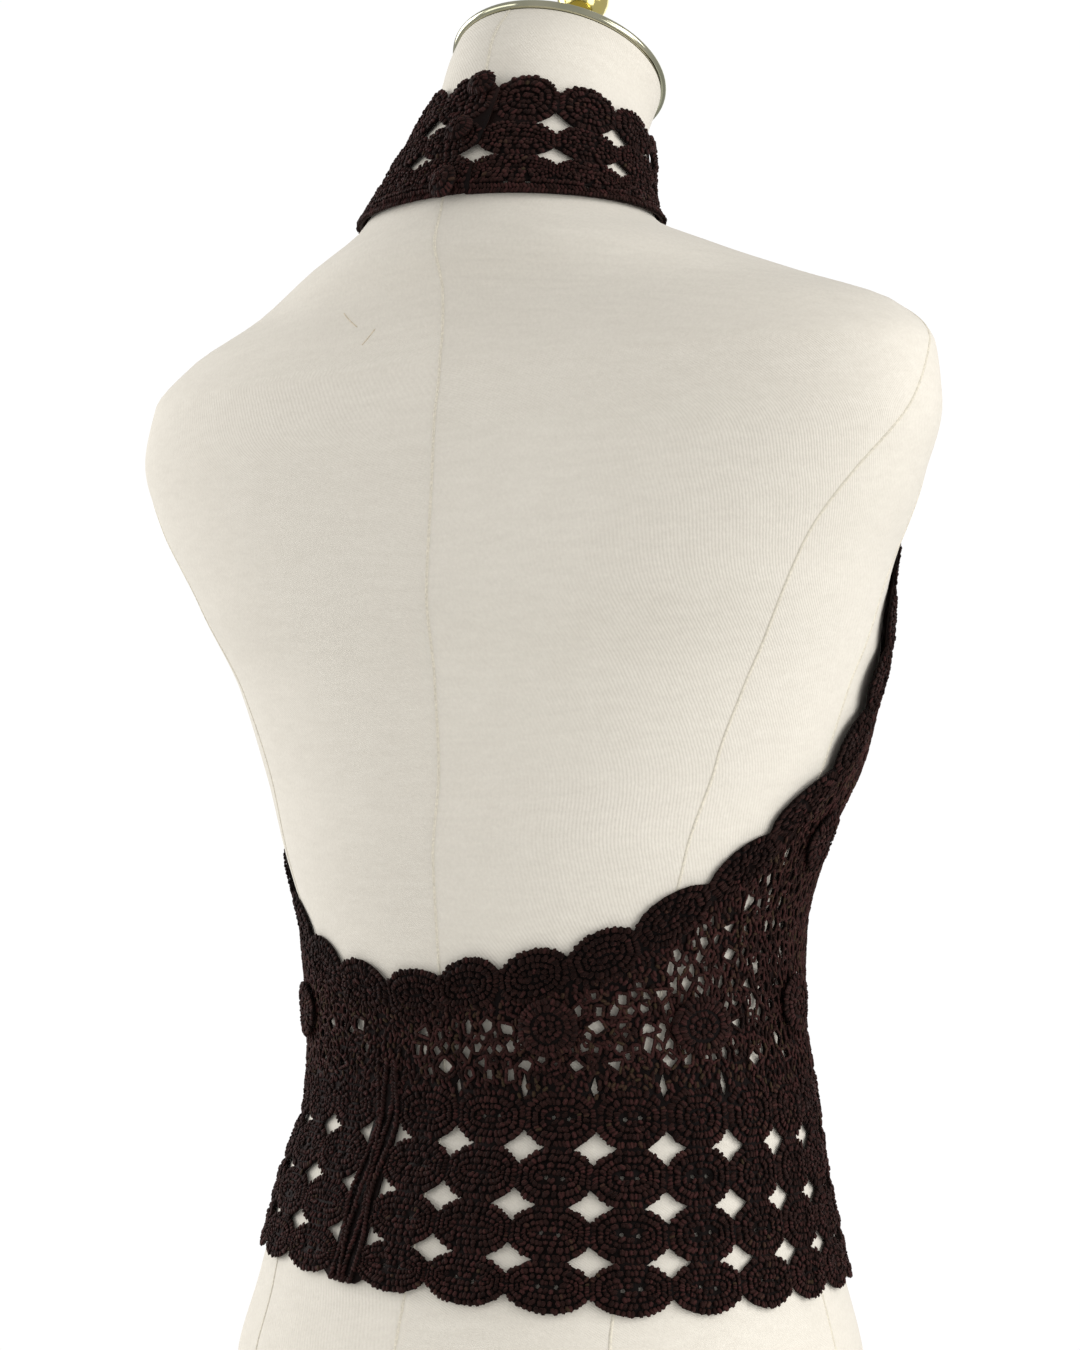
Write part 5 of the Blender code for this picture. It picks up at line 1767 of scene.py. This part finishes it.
@dataclass
class Collar(Sheet):
    """One half of the collar: rows of ovals over a rim with a line of small holes."""

    stands_off: float = 0.0002
    overlap: float = 0.004
    overlap_rise: float = 0.0014
    end_columns: float = 0.05
    hole_half: float = 0.0009
    hole_wide: float = 1.5
    hole_varies: Pair = (0.7, 1.3)
    hole_sides: int = 5
    hole_row: float = 0.02
    holes_from: float = 0.2
    holes_end: float = 0.1
    holes_per_column: int = 4
    holes_open: float = 0.55
    rim_steps: int = 80
    rim_pitch: float = 0.0016
    rim_length: float = 0.0027
    rim_half: float = 0.0008
    rim_lifts: tuple[float, ...] = (0.0004, 0.0022, 0.0046)
    rim_leans: tuple[float, ...] = (0.9, -0.9, 0.6)

    @property
    def laps(self) -> bool:
        """Whether this half lies over the other at the closure."""
        return self.columns[1] == COLLAR_COLUMNS

    def draw(self) -> None:
        """Draws the outline, the gaps between the ovals and the rim's holes."""
        first, last = self.columns
        top = len(COLLAR_EDGES)
        foot = collar_place(np.linspace(first, last, 4 * (last - first) + 1), 0)
        foot[:, 1] = collar_bottom(foot[:, 0])
        degrees = np.linspace(FLAT_DEGREES, 180 - FLAT_DEGREES, SCALLOP_STEPS)
        backwards = reversed(range(first, last))
        scallops = [arc(cell(collar_place, column, top - 1), degrees) for column in backwards]
        levels = (0, 1, 2, top - GAP_TIP / 2)
        right, left = ([collar_place([end], [row]) for row in levels] for end in (last, first))
        if self.laps:
            right[1] = star(collar_place, last, 1, (1, 2))[::-1]
        if first == 0:
            left[1] = star(collar_place, first, 1, (3, 0))
        places = np.concatenate([foot, *right, *scallops, *(part[::-1] for part in left[::-1])])
        if self.laps:
            end = self.middle + (last - first - self.end_columns) / 2 / COLLAR_COLUMNS
            places[:, 0] += self.overlap * (places[:, 0] > end)
        self.cloth.trim(places)
        for column, row in product(range(first, last), range(top)):
            self.cloth.add(arc(cell(collar_place, column, row), np.arange(0, 360, 45), INNER_RING))
        for edge, row in product(range(first + 1, last), range(1, top)):
            self.cloth.cut(star(collar_place, edge, row))
        self.draw_holes(np.random.default_rng(first))

    def draw_holes(self, rng: np.random.Generator) -> None:
        """Cuts the rim's small holes, which are missing here and there."""
        first, last = self.columns
        angles = turns(self.hole_sides)
        for column in np.arange(first + self.holes_from, last - self.holes_end, 1 / self.holes_per_column):
            place = np.broadcast_to(collar_place(column, self.hole_row), (self.hole_sides, 2))
            wide = self.hole_wide * self.hole_half * rng.uniform(*self.hole_varies, self.hole_sides)
            if rng.uniform() < self.holes_open:
                self.open_hole(CHART.shift(place, wide * np.cos(angles), self.hole_half * np.sin(angles)))

    def rise(self, places: Array) -> Array:
        """How much the overlapping end stands off: a squared fall over the last column."""
        into = (COLLAR_CLOSURE + 1 - places[:, 0]) * COLLAR_COLUMNS
        return np.where(self.laps, self.overlap_rise * np.clip(1 - into, 0, 1) ** 2, 0.0)

    def clear(self, places: Array) -> Array:
        """How far the shell stands off the form, raised at the overlap."""
        return SHELL_FACE + self.stands_off + self.rise(places)

    def grains(self, rounds: OvalRounds, rng: np.random.Generator) -> Grains:
        """The stitches of the ovals, which are free along the top, and the cords of the rim."""
        first, last = self.columns
        motifs = np.array(list(product(range(first, last), range(len(COLLAR_EDGES)))))
        touching = np.ones((len(motifs), 4), bool)
        touching[:, 1] = motifs[:, 1] < len(COLLAR_EDGES) - 1
        made = [lattice_grains(collar_place, motifs, touching, rounds, rng, self.stands_off)]
        steps = np.linspace(first, last, self.rim_steps)
        for lift, lean in zip(self.rim_lifts, self.rim_leans):
            line = collar_place(steps, 0)
            line[:, 1] = collar_bottom(line[:, 0]) + lift
            clear = GRAIN_CLEAR + self.stands_off
            cord = Cord(self.rim_pitch, self.rim_length, lean, self.rim_half, clear=clear)
            made.append(cord.grains(line, rng))
        grains = self.cloth.off_holes(Grains.join(made), self.holes, 0.5)
        rise = self.rise(grains.start)
        grains.start_clear += rise
        grains.end_clear += rise
        return grains


@dataclass(frozen=True)
class Discs:
    """Round crochet pieces sewn on by their middles: a soft lens under rounds of stitches.

    The profile runs from the middle below, over the rim, to the middle above, as shares of the radius and
    distances off the form.
    """

    name: str
    places: Array
    radius: float
    profile: tuple[Pair, ...]
    rounds: OvalRounds
    sides: int
    digits: int
    # The lenses have no lit attribute, so they take the yarn's painted shade colour and this tone does not
    # show.
    tone: float = 0.2

    def nodes(self) -> list[str]:
        """The names of the discs' CAD nodes."""
        return [f"{self.name}_{number:0{self.digits}d}" for number in range(1, len(self.places) + 1)]

    def base(self) -> bpy.types.Mesh:
        """All the lenses in one mesh, with the attribute tone but no lit, so they are painted shade: each is
        its profile spun about its place.
        """
        profile = np.array(self.profile)
        rings = len(profile) - 2
        reach = on_spindle(profile[1:-1, 0], self.sides) * self.radius
        clear = on_spindle(profile[1:-1, 1], self.sides, profile[[0, -1], 1])
        turn = np.concatenate([[0.0], np.tile(turns(self.sides), rings), [0.0]])
        middles = np.repeat(self.places[:, None], len(reach), axis=1)
        ring = CHART.shift(middles, reach * np.cos(turn), reach * np.sin(turn))
        points = CHART.wrap(ring, clear + ROUTE.lift(ring)).reshape(-1, 3)
        faces = spindle_faces(rings, self.sides, len(self.places))
        return make_mesh(self.name + "_lenses", points, faces, tone=self.tone)

    def grains(self, rng: np.random.Generator) -> Grains:
        """The stitches on all the discs."""

        def at(which: Array, x: Array, y: Array) -> Array:
            """Chart places on some of the discs."""
            middles = np.broadcast_to(self.places[which], (*x.shape, 2))
            return CHART.shift(middles, self.radius * x, self.radius * y)

        halves = np.full((len(self.places), 2), self.radius)
        return self.rounds.grains(at, halves, np.zeros((len(self.places), 4), bool), rng)


@dataclass(frozen=True)
class DressForm:
    """The padded torso in its cover, with the cover's seams and chalk marks as shares and heights."""

    sides: int = 144
    rings: int = 180
    seam_half: float = 0.0008
    seam_high: float = 0.0004
    seam_steps: int = 260
    chalk_half: float = 0.0004
    chalk_high: float = 0.0002
    chalk_steps: int = 16
    centre: tuple[Pair, ...] = (
        *((0.002, NECK_TOP), (0.004, 0.590), (0.000, 0.535), (0.003, 0.467), (-0.001, 0.379)),
        *((-0.002, 0.277), (-0.003, 0.100), (-0.003, 0.0)),
    )
    front: tuple[Pair, ...] = ((0.500, NECK_TOP), (0.500, 0.0))
    princess: tuple[Pair, ...] = (
        *((0.272, 0.545), (0.264, 0.5365), (0.238, 0.503), (0.198, 0.447), (0.1906, 0.425), (0.170, 0.379)),
        *((0.161, 0.347), (0.160, 0.306), (0.150, 0.235), (0.130, 0.150), (0.1175, 0.103), (0.112, 0.0)),
    )
    side: tuple[Pair, ...] = (
        *((0.286, 0.480), (0.2747, 0.4374), (0.2654, 0.4165), (0.2411, 0.377), (0.2349, 0.3485)),
        *((0.240, 0.235), (0.2623, 0.091), (0.265, 0.0)),
    )
    strokes: tuple[tuple[Pair, Pair], ...] = (
        ((-0.0757, 0.5574), (-0.0583, 0.5507)),
        ((-0.0444, 0.5487), (-0.0506, 0.5421)),
    )
    arch: tuple[Pair, ...] = ((-1.0, -0.4), (-0.6, 0.7), (0.0, 1.0), (0.6, 0.7), (1.0, -0.4))

    def torso(self) -> bpy.types.Mesh:
        """The torso as a closed grid of angles and heights, with its chart as its map."""
        heights = np.linspace(0, NECK_TOP, self.rings)
        rings = CHART.point(turns(self.sides)[None, :], heights[:, None]).reshape(-1, 3)
        foot, top = rings[: self.sides], rings[-self.sides :]
        points = np.concatenate([foot.mean(axis=0)[None], rings, top.mean(axis=0)[None]])
        tips, walls = spindle_faces(self.rings, self.sides)
        mesh = make_mesh("form_torso_cover", points, [tips, walls])
        ring, side = np.divmod(walls - 1, self.sides)
        closing = np.arange(len(walls))[:, None] % self.sides == self.sides - 1
        share = np.where((side == 0) & closing, self.sides, side) / self.sides
        flat = np.stack([(share - 0.5) * CHART.girth(heights[ring]), heights[ring]], axis=-1).reshape(-1, 2)
        layer = mesh.uv_layers.new(name="chart")
        corners = np.concatenate([points[tips.ravel()][:, :2], flat])
        layer.data.foreach_set("uv", corners.astype(np.float32).ravel())
        mesh.set_sharp_from_angle(angle=math.radians(60))
        return mesh

    def seams(self) -> bpy.types.Mesh:
        """Every seam as a low welt along a curve smoothed through its table."""
        routes = []
        single, both = (1,), (1, -1)
        seams = ((self.centre, single), (self.front, single), (self.princess, both), (self.side, both))
        for rows, mirrors in seams:
            share, height = np.array(rows)[::-1].T
            level = np.linspace(height[0], height[-1], self.seam_steps)
            routes += [(mirror * monotone(height, share, level), level) for mirror in mirrors]
        return self.welts("form_cover_seams", routes, self.seam_half, self.seam_high)

    def chalk(self) -> bpy.types.Mesh:
        """The tailor's chalk mark on the left shoulder: two short strokes."""
        steps = np.linspace(0, 1, self.chalk_steps)
        routes = [tuple((start + steps[:, None] * (end - start)).T) for start, end in np.array(self.strokes)]
        return self.welts("form_chalk_mark", routes, self.chalk_half, self.chalk_high)

    def welts(self, name: str, routes: list[tuple[Array, Array]], half: float, high: float) -> bpy.types.Mesh:
        """Low welts along routes: a flat arch across each, carried along it on the cover's normal.

        Args:
            name: The mesh's name.
            routes: Shares and heights along each.
            half: Half the welts' width.
            high: How high they stand.

        Returns:
            The mesh.
        """
        arch = np.array(self.arch) * (half, high)
        points, faces, base = [], [], 0
        for share, height in routes:
            angle = CHART.angle_of(share, height)
            middle, normal = CHART.point(angle, height), CHART.normal(angle, height)
            side = unit(np.cross(np.gradient(middle, axis=0), normal))
            strip = middle[:, None] + side[:, None] * arch[:, :1] + normal[:, None] * arch[:, 1:]
            points.append(strip.reshape(-1, 3))
            faces.append(grid_faces(len(height), len(arch)) + base)
            base += len(points[-1])
        return make_mesh(name, np.concatenate(points), [np.concatenate(faces)[:, ::-1]])


@dataclass(frozen=True)
class NeckCap:
    """The neck's metal: a domed plate, the polished tube round it and a turned finial."""

    sides: int = 96
    plate_lift: float = 0.0003
    plate_thick: float = 0.0025
    plate_dome: float = 0.004
    plate_rim: tuple[float, ...] = (0.0003, 0.0014, 0.0022)
    plate_roll: float = 0.0009
    plate_shares: tuple[float, ...] = (0.2, 0.4, 0.6, 0.8, 0.93)
    tube_radius: float = 0.0021
    tube_inset: float = 0.0001
    tube_sides: int = 20
    foot_lift: float = 0.0006
    foot_radius: float = 0.010
    stem_radius: float = 0.0033
    stem_length: float = 0.030
    collar_radius: float = 0.0050
    knob_radius: float = 0.0125
    knob_sunk: float = 0.86
    knob_turns: tuple[int, int, int] = (-68, 80, 14)
    turned_sides: int = 32

    @property
    def axis(self) -> Array:
        """The neck's way up."""
        lean = float(CHART.section("lean", NECK_TOP))
        return np.array([0, -lean, 1]) / math.hypot(lean, 1)

    @property
    def middle(self) -> Array:
        """The middle of the neck's top."""
        lean, middle_y = (float(CHART.section(column, NECK_TOP)) for column in ("lean", "middle_y"))
        return np.array([0, middle_y, NECK_TOP + lean * middle_y])

    def ring(self, grow: Array, lift: Array) -> Array:
        """Rings round the neck's top, each grown by a distance and lifted along the axis."""
        angles = turns(self.sides)
        names = ("half_width", "back", "middle_y", "lean")
        half_width, back, middle_y, lean = (float(CHART.section(name, NECK_TOP)) for name in names)
        x = -(half_width + grow[:, None]) * np.sin(angles)
        y = (back + grow[:, None]) * np.cos(angles) + middle_y
        return np.stack([x, y, NECK_TOP + lean * y], axis=-1) + lift[:, None, None] * self.axis

    def plate(self) -> bpy.types.Mesh:
        """The plate: rings from its underside over a rolled rim and up a low dome."""
        half_width = float(CHART.section("half_width", NECK_TOP))
        edge = -(self.tube_inset + self.tube_radius + GAP)
        inwards = -half_width * np.array(self.plate_shares)
        grow = np.array([edge] * len(self.plate_rim) + [edge - self.plate_roll, *inwards])
        dome = self.plate_dome * np.sin(np.clip(-grow / half_width, 0, 1) * math.pi / 2)
        lift = self.plate_lift + self.plate_thick + dome
        lift[: len(self.plate_rim)] = self.plate_rim
        ends = [self.middle + self.axis * self.plate_lift]
        ends += [self.middle + self.axis * (self.plate_lift + self.plate_thick + self.plate_dome)]
        points = np.concatenate([ends[:1], self.ring(grow, lift).reshape(-1, 3), ends[1:]])
        return make_mesh("neck_plate_metal", points, spindle_faces(len(grow), self.sides))

    def tube(self) -> bpy.types.Mesh:
        """The tube: a circle carried round the neck's top edge, just above it."""
        turn = turns(self.tube_sides)
        grow = -self.tube_radius * np.cos(turn) - self.tube_inset
        lift = self.tube_radius * (1 + np.sin(turn)) + GAP
        faces = grid_faces(self.tube_sides, self.sides, True, True)[:, ::-1]
        return make_mesh("neck_ring_metal", self.ring(grow, lift).reshape(-1, 3), [faces])

    def finial(self) -> bpy.types.Mesh:
        """The finial, turned: radii and heights spun about the neck's axis."""
        foot = self.plate_thick + self.plate_dome + self.foot_lift
        stem, collar = (self.stem_radius, self.collar_radius)
        profile = [(self.foot_radius, 0.0), (self.foot_radius + 0.0003, 0.001), (self.foot_radius, 0.002)]
        profile += [(0.0065, 0.0030), (0.0044, 0.0046), (stem, 0.0075), (0.0029, 0.015)]
        drops = ((stem, 0.005), (collar, 0.0035), (collar, 0.0020), (0.0036, 0.0008))
        profile += [(radius, self.stem_length - drop) for radius, drop in drops]
        profile = [(radius, foot + height) for radius, height in profile]
        knob = foot + self.stem_length + self.knob_radius * self.knob_sunk
        turn = np.radians(np.linspace(*self.knob_turns))
        profile += list(zip(self.knob_radius * np.cos(turn), knob + self.knob_radius * np.sin(turn)))
        rows = np.array(profile)
        angles = turns(self.turned_sides)[:, None]
        across = np.array([1.0, 0.0, 0.0])
        around = np.cos(angles) * across + np.sin(angles) * np.cross(self.axis, across)
        rings = self.middle + rows[:, None, :1] * around + rows[:, None, 1:] * self.axis
        ends = [self.middle + self.axis * foot, self.middle + self.axis * (knob + self.knob_radius)]
        points = np.concatenate([ends[:1], rings.reshape(-1, 3), ends[1:]])
        return make_mesh("finial_metal", points, spindle_faces(len(rows), len(angles)))


@dataclass(frozen=True)
class SoftLight:
    """A square softbox that faces the part."""

    name: str
    place: Colour
    side: float
    watts: float
    aim: Colour = (0.0, 0.0, 0.36)

    def build(self) -> None:
        """Adds the light."""
        lamp = bpy.data.lights.new(self.name, "AREA")
        lamp.size = self.side
        lamp.energy = self.watts
        made = add_object(self.name, lamp)
        made.location = self.place
        made.rotation_euler = (Vector(self.place) - Vector(self.aim)).to_track_quat("Z", "Y").to_euler()


@dataclass(frozen=True)
class Studio:
    """A plain pale floor, soft light and the camera."""

    turned: float = 33.07
    distance: float = 1.6447
    eye: float = 0.3554
    focal_pixels: float = 3549.0
    frame_height: int = 1350
    aim_pixels: Pair = (3.6, 74.3)
    roll: float = 1.93
    floor_reaches: tuple[float, ...] = (0.46, 0.322, 0.184, 0.046)
    floor_sides: int = 96
    seen_white: float = 1.02
    ambient: float = 0.495

    def camera(self) -> None:
        """Adds the camera: behind the wearer's right shoulder, rolled a little against the clock's way."""
        turn, roll = math.radians(self.turned), math.radians(self.roll)
        ahead = Vector((math.sin(turn), -math.cos(turn), 0))
        right = Vector((-math.cos(turn), -math.sin(turn), 0))
        up = Vector((0, 0, 1))
        aside = right * self.aim_pixels[0] + up * self.aim_pixels[1]
        axis = (ahead + aside / self.focal_pixels).normalized()
        right = axis.cross(up).normalized()
        up = right.cross(axis)
        turned_right = right * math.cos(roll) - up * math.sin(roll)
        turned_up = up * math.cos(roll) + right * math.sin(roll)
        lens = bpy.data.cameras.new("camera")
        lens.sensor_fit = "VERTICAL"
        lens.sensor_height = 36.0
        lens.lens = self.focal_pixels / self.frame_height * lens.sensor_height
        lens.clip_end = 60.0
        made = add_object("camera", lens)
        turning = Matrix((turned_right, turned_up, -axis)).transposed().to_4x4()
        made.matrix_world = Matrix.Translation(-ahead * self.distance + Vector((0, 0, self.eye))) @ turning
        bpy.context.scene.camera = made

    def floor(self) -> None:
        """Adds the floor, a round one that ends below the camera's view."""
        turn, sides = turns(self.floor_sides), self.floor_sides
        reach = np.array(self.floor_reaches)[:, None]
        rings = np.stack([reach * np.cos(turn), reach * np.sin(turn), 0 * reach * turn], axis=-1)
        points = rings.reshape(-1, 3)
        k = np.arange(sides)
        last = (len(reach) - 1) * sides
        middle = np.stack([last + k, last + (k + 1) % sides, np.full(sides, len(points))], axis=-1)
        faces = [grid_faces(len(reach), sides, True), middle]
        mesh = make_mesh("studio_floor", np.concatenate([points, np.zeros((1, 3))]), faces)
        pale = MottledFinish("studio_floor", (0.93, 0.93, 0.92), 0.9, 0.1, 6.0, 0.985, None)
        mesh.materials.append(pale.material())
        add_object("studio_floor", mesh)

    def light(self) -> None:
        """Adds the softboxes and an even pale surround, which shines less than it shows."""
        SoftLight("right_softbox", (-2.1, -0.2, 1.1), 1.4, 24.0).build()
        SoftLight("left_softbox", (2.0, 0.3, 0.9), 1.3, 24.0).build()
        SoftLight("back_softbox", (1.6, 1.9, 0.8), 1.3, 11.0).build()
        SoftLight("low_softbox", (-1.6, 0.6, 0.15), 1.0, 8.2).build()
        SoftLight("front_softbox", (0.4, -2.2, 1.0), 1.4, 6.0).build()
        world = bpy.data.worlds.new("studio")
        bpy.context.scene.world = world
        world.use_nodes = True
        tree = world.node_tree
        background = tree.nodes["Background"]
        background.inputs["Color"].default_value = (1, 1, 1, 1)
        path = tree.nodes.new("ShaderNodeLightPath")
        strength = tree.nodes.new("ShaderNodeMapRange")
        strength.inputs["To Min"].default_value = self.ambient
        strength.inputs["To Max"].default_value = self.seen_white
        tree.links.new(path.outputs["Is Camera Ray"], strength.inputs["Value"])
        tree.links.new(strength.outputs["Result"], background.inputs["Strength"])
        bpy.context.scene.view_settings.view_transform = "Standard"

    def build(self) -> None:
        """Adds everything round the part."""
        self.camera()
        self.floor()
        self.light()


OVALS = OvalRounds()
BORDER_OVALS = OvalRounds(tone_mean=0.24)
ROSETTES = Discs(
    "rosette",
    ROSETTE_PLACES,
    ROSETTE_RADIUS,
    (
        *((0.0, 0.0042), (0.55, 0.0043), (0.94, 0.0046), (1.0, 0.0051)),
        *((0.84, 0.0059), (0.55, 0.0063), (0.28, 0.0059), (0.0, 0.0061)),
    ),
    OvalRounds(
        (
            Round(0.00170, 0.80, 1.03, 0.0063, 0.0055, 0.35),
            Round(0.00165, 0.56, 0.83, 0.0066, 0.0064, -0.35),
            Round(0.00160, 0.31, 0.50, 0.0065, 0.0063, 0.45),
            Round(0.00150, 0.08, 0.28, 0.0065, 0.0065, -0.5),
        )
    ),
    sides=28,
    digits=2,
)
KNOTS = Discs(
    "collar_button",
    np.array(BUTTONS),
    BUTTON_RADIUS,
    (
        *((0.0, 0.0050), (0.7, 0.0051), (0.98, 0.0060), (0.92, 0.0074)),
        *((0.6, 0.0086), (0.25, 0.0092), (0.0, 0.0093)),
    ),
    OvalRounds(
        (
            Round(0.00150, 0.62, 1.04, 0.0085, 0.0066, 0.5),
            Round(0.00150, 0.20, 0.62, 0.0094, 0.0086, -0.5),
            Round(0.00140, 0.00, 0.22, 0.0096, 0.0095, 0.6),
        )
    ),
    sides=20,
    digits=1,
)
STITCH_SEED = 41
WORK = NetWork()
BIB_WORK = NetWork(apart=0.0038, rise=0.0039, length=0.0052, half_width=0.0014)


def build_top(yarn: bpy.types.Material) -> None:
    """Builds the top's panels, collar, rosettes and knots.

    Args:
        yarn: The yarn's material.
    """
    rng = np.random.default_rng(STITCH_SEED)

    def work(grains: Grains, name: str) -> bpy.types.Object:
        """Adds a piece of stitches."""
        return add_piece(grains.mesh(name), Slot.YARN, yarn)

    panels = (
        (BackPanel("back_panel", BACK_COLUMNS, (0.483, 0.286), 0.061, 1.0), (0, CUT_MOTIF)),
        (FrontPanel("front_panel", FRONT_COLUMNS, (0.401, 0.483), 0.130, 0.5), (CUT_MOTIF, BORDER_MOTIFS)),
    )
    for panel, motifs in panels:
        rings = panel.draw()
        shell = panel.shell(yarn)
        net = Grains.join([WORK.ground(panel.cloth, False), BIB_WORK.ground(panel.cloth, True)])
        pieces = [
            work(panel.oval_grains(OVALS, rng), panel.name + "_ovals"),
            work(panel.border_grains(BORDER_OVALS, *motifs, rng), panel.name + "_border"),
            work(net, panel.name + "_net"),
            work(WORK.edges(panel.cloth, rings), panel.name + "_net_edges"),
        ]
        if isinstance(panel, BackPanel):
            pieces.append(work(SeamRope().grains(rng), "seam_rope"))
        panel.declare(shell, pieces)
    right, left = (0, COLLAR_FRONT_COLUMN), (COLLAR_FRONT_COLUMN, COLLAR_COLUMNS)
    for name, columns, flat, area in (
        ("collar_right", right, (0.206, 0.058), 0.0092),
        ("collar_left", left, (0.201, 0.058), 0.0098),
    ):
        half = Collar(name, columns, flat, area, COLLAR_CLOSURE + sum(columns) / 2 / COLLAR_COLUMNS)
        half.draw()
        shell = half.shell(yarn)
        half.declare(shell, [work(half.grains(OVALS, rng), name + "_stitches")])
    for discs in (ROSETTES, KNOTS):
        add_piece(discs.base(), Slot.YARN, yarn, discs.nodes())
        work(discs.grains(rng), discs.name + "_stitches")


def main() -> None:
    """Builds the scene."""
    logging.basicConfig(level=logging.INFO, format="%(message)s")
    Studio().build()
    form = DressForm()
    add_piece(form.torso(), Slot.COVER, CoverFinish().material(), ["form_torso"])
    add_piece(form.seams(), Slot.COVER, MottledFinish("seam_welt", (0.82, 0.76, 0.63)).material())
    add_piece(form.chalk(), Slot.COVER, MottledFinish("chalk", (0.76, 0.66, 0.50)).material())
    cap = NeckCap()
    gilt = MetalFinish("gilt_metal", (0.80, 0.68, 0.25), (0.64, 0.56, 0.24)).material()
    tube = MetalFinish("tube_metal", (0.56, 0.54, 0.40), (0.38, 0.38, 0.27), 0.10).material()
    add_piece(cap.plate(), Slot.METAL, gilt, ["neck_plate"])
    add_piece(cap.tube(), Slot.METAL, tube, ["neck_ring"])
    add_piece(cap.finial(), Slot.METAL, gilt, ["finial"])
    build_top(YarnFinish().material())
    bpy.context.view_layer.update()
    meshes = [each.data for each in bpy.data.objects if each.type == "MESH"]
    triangles = sum(len(mesh.loops) - 2 * len(mesh.polygons) for mesh in meshes)
    LOG.info("triangles: %d", triangles)


if __name__ == "__main__":
    main()
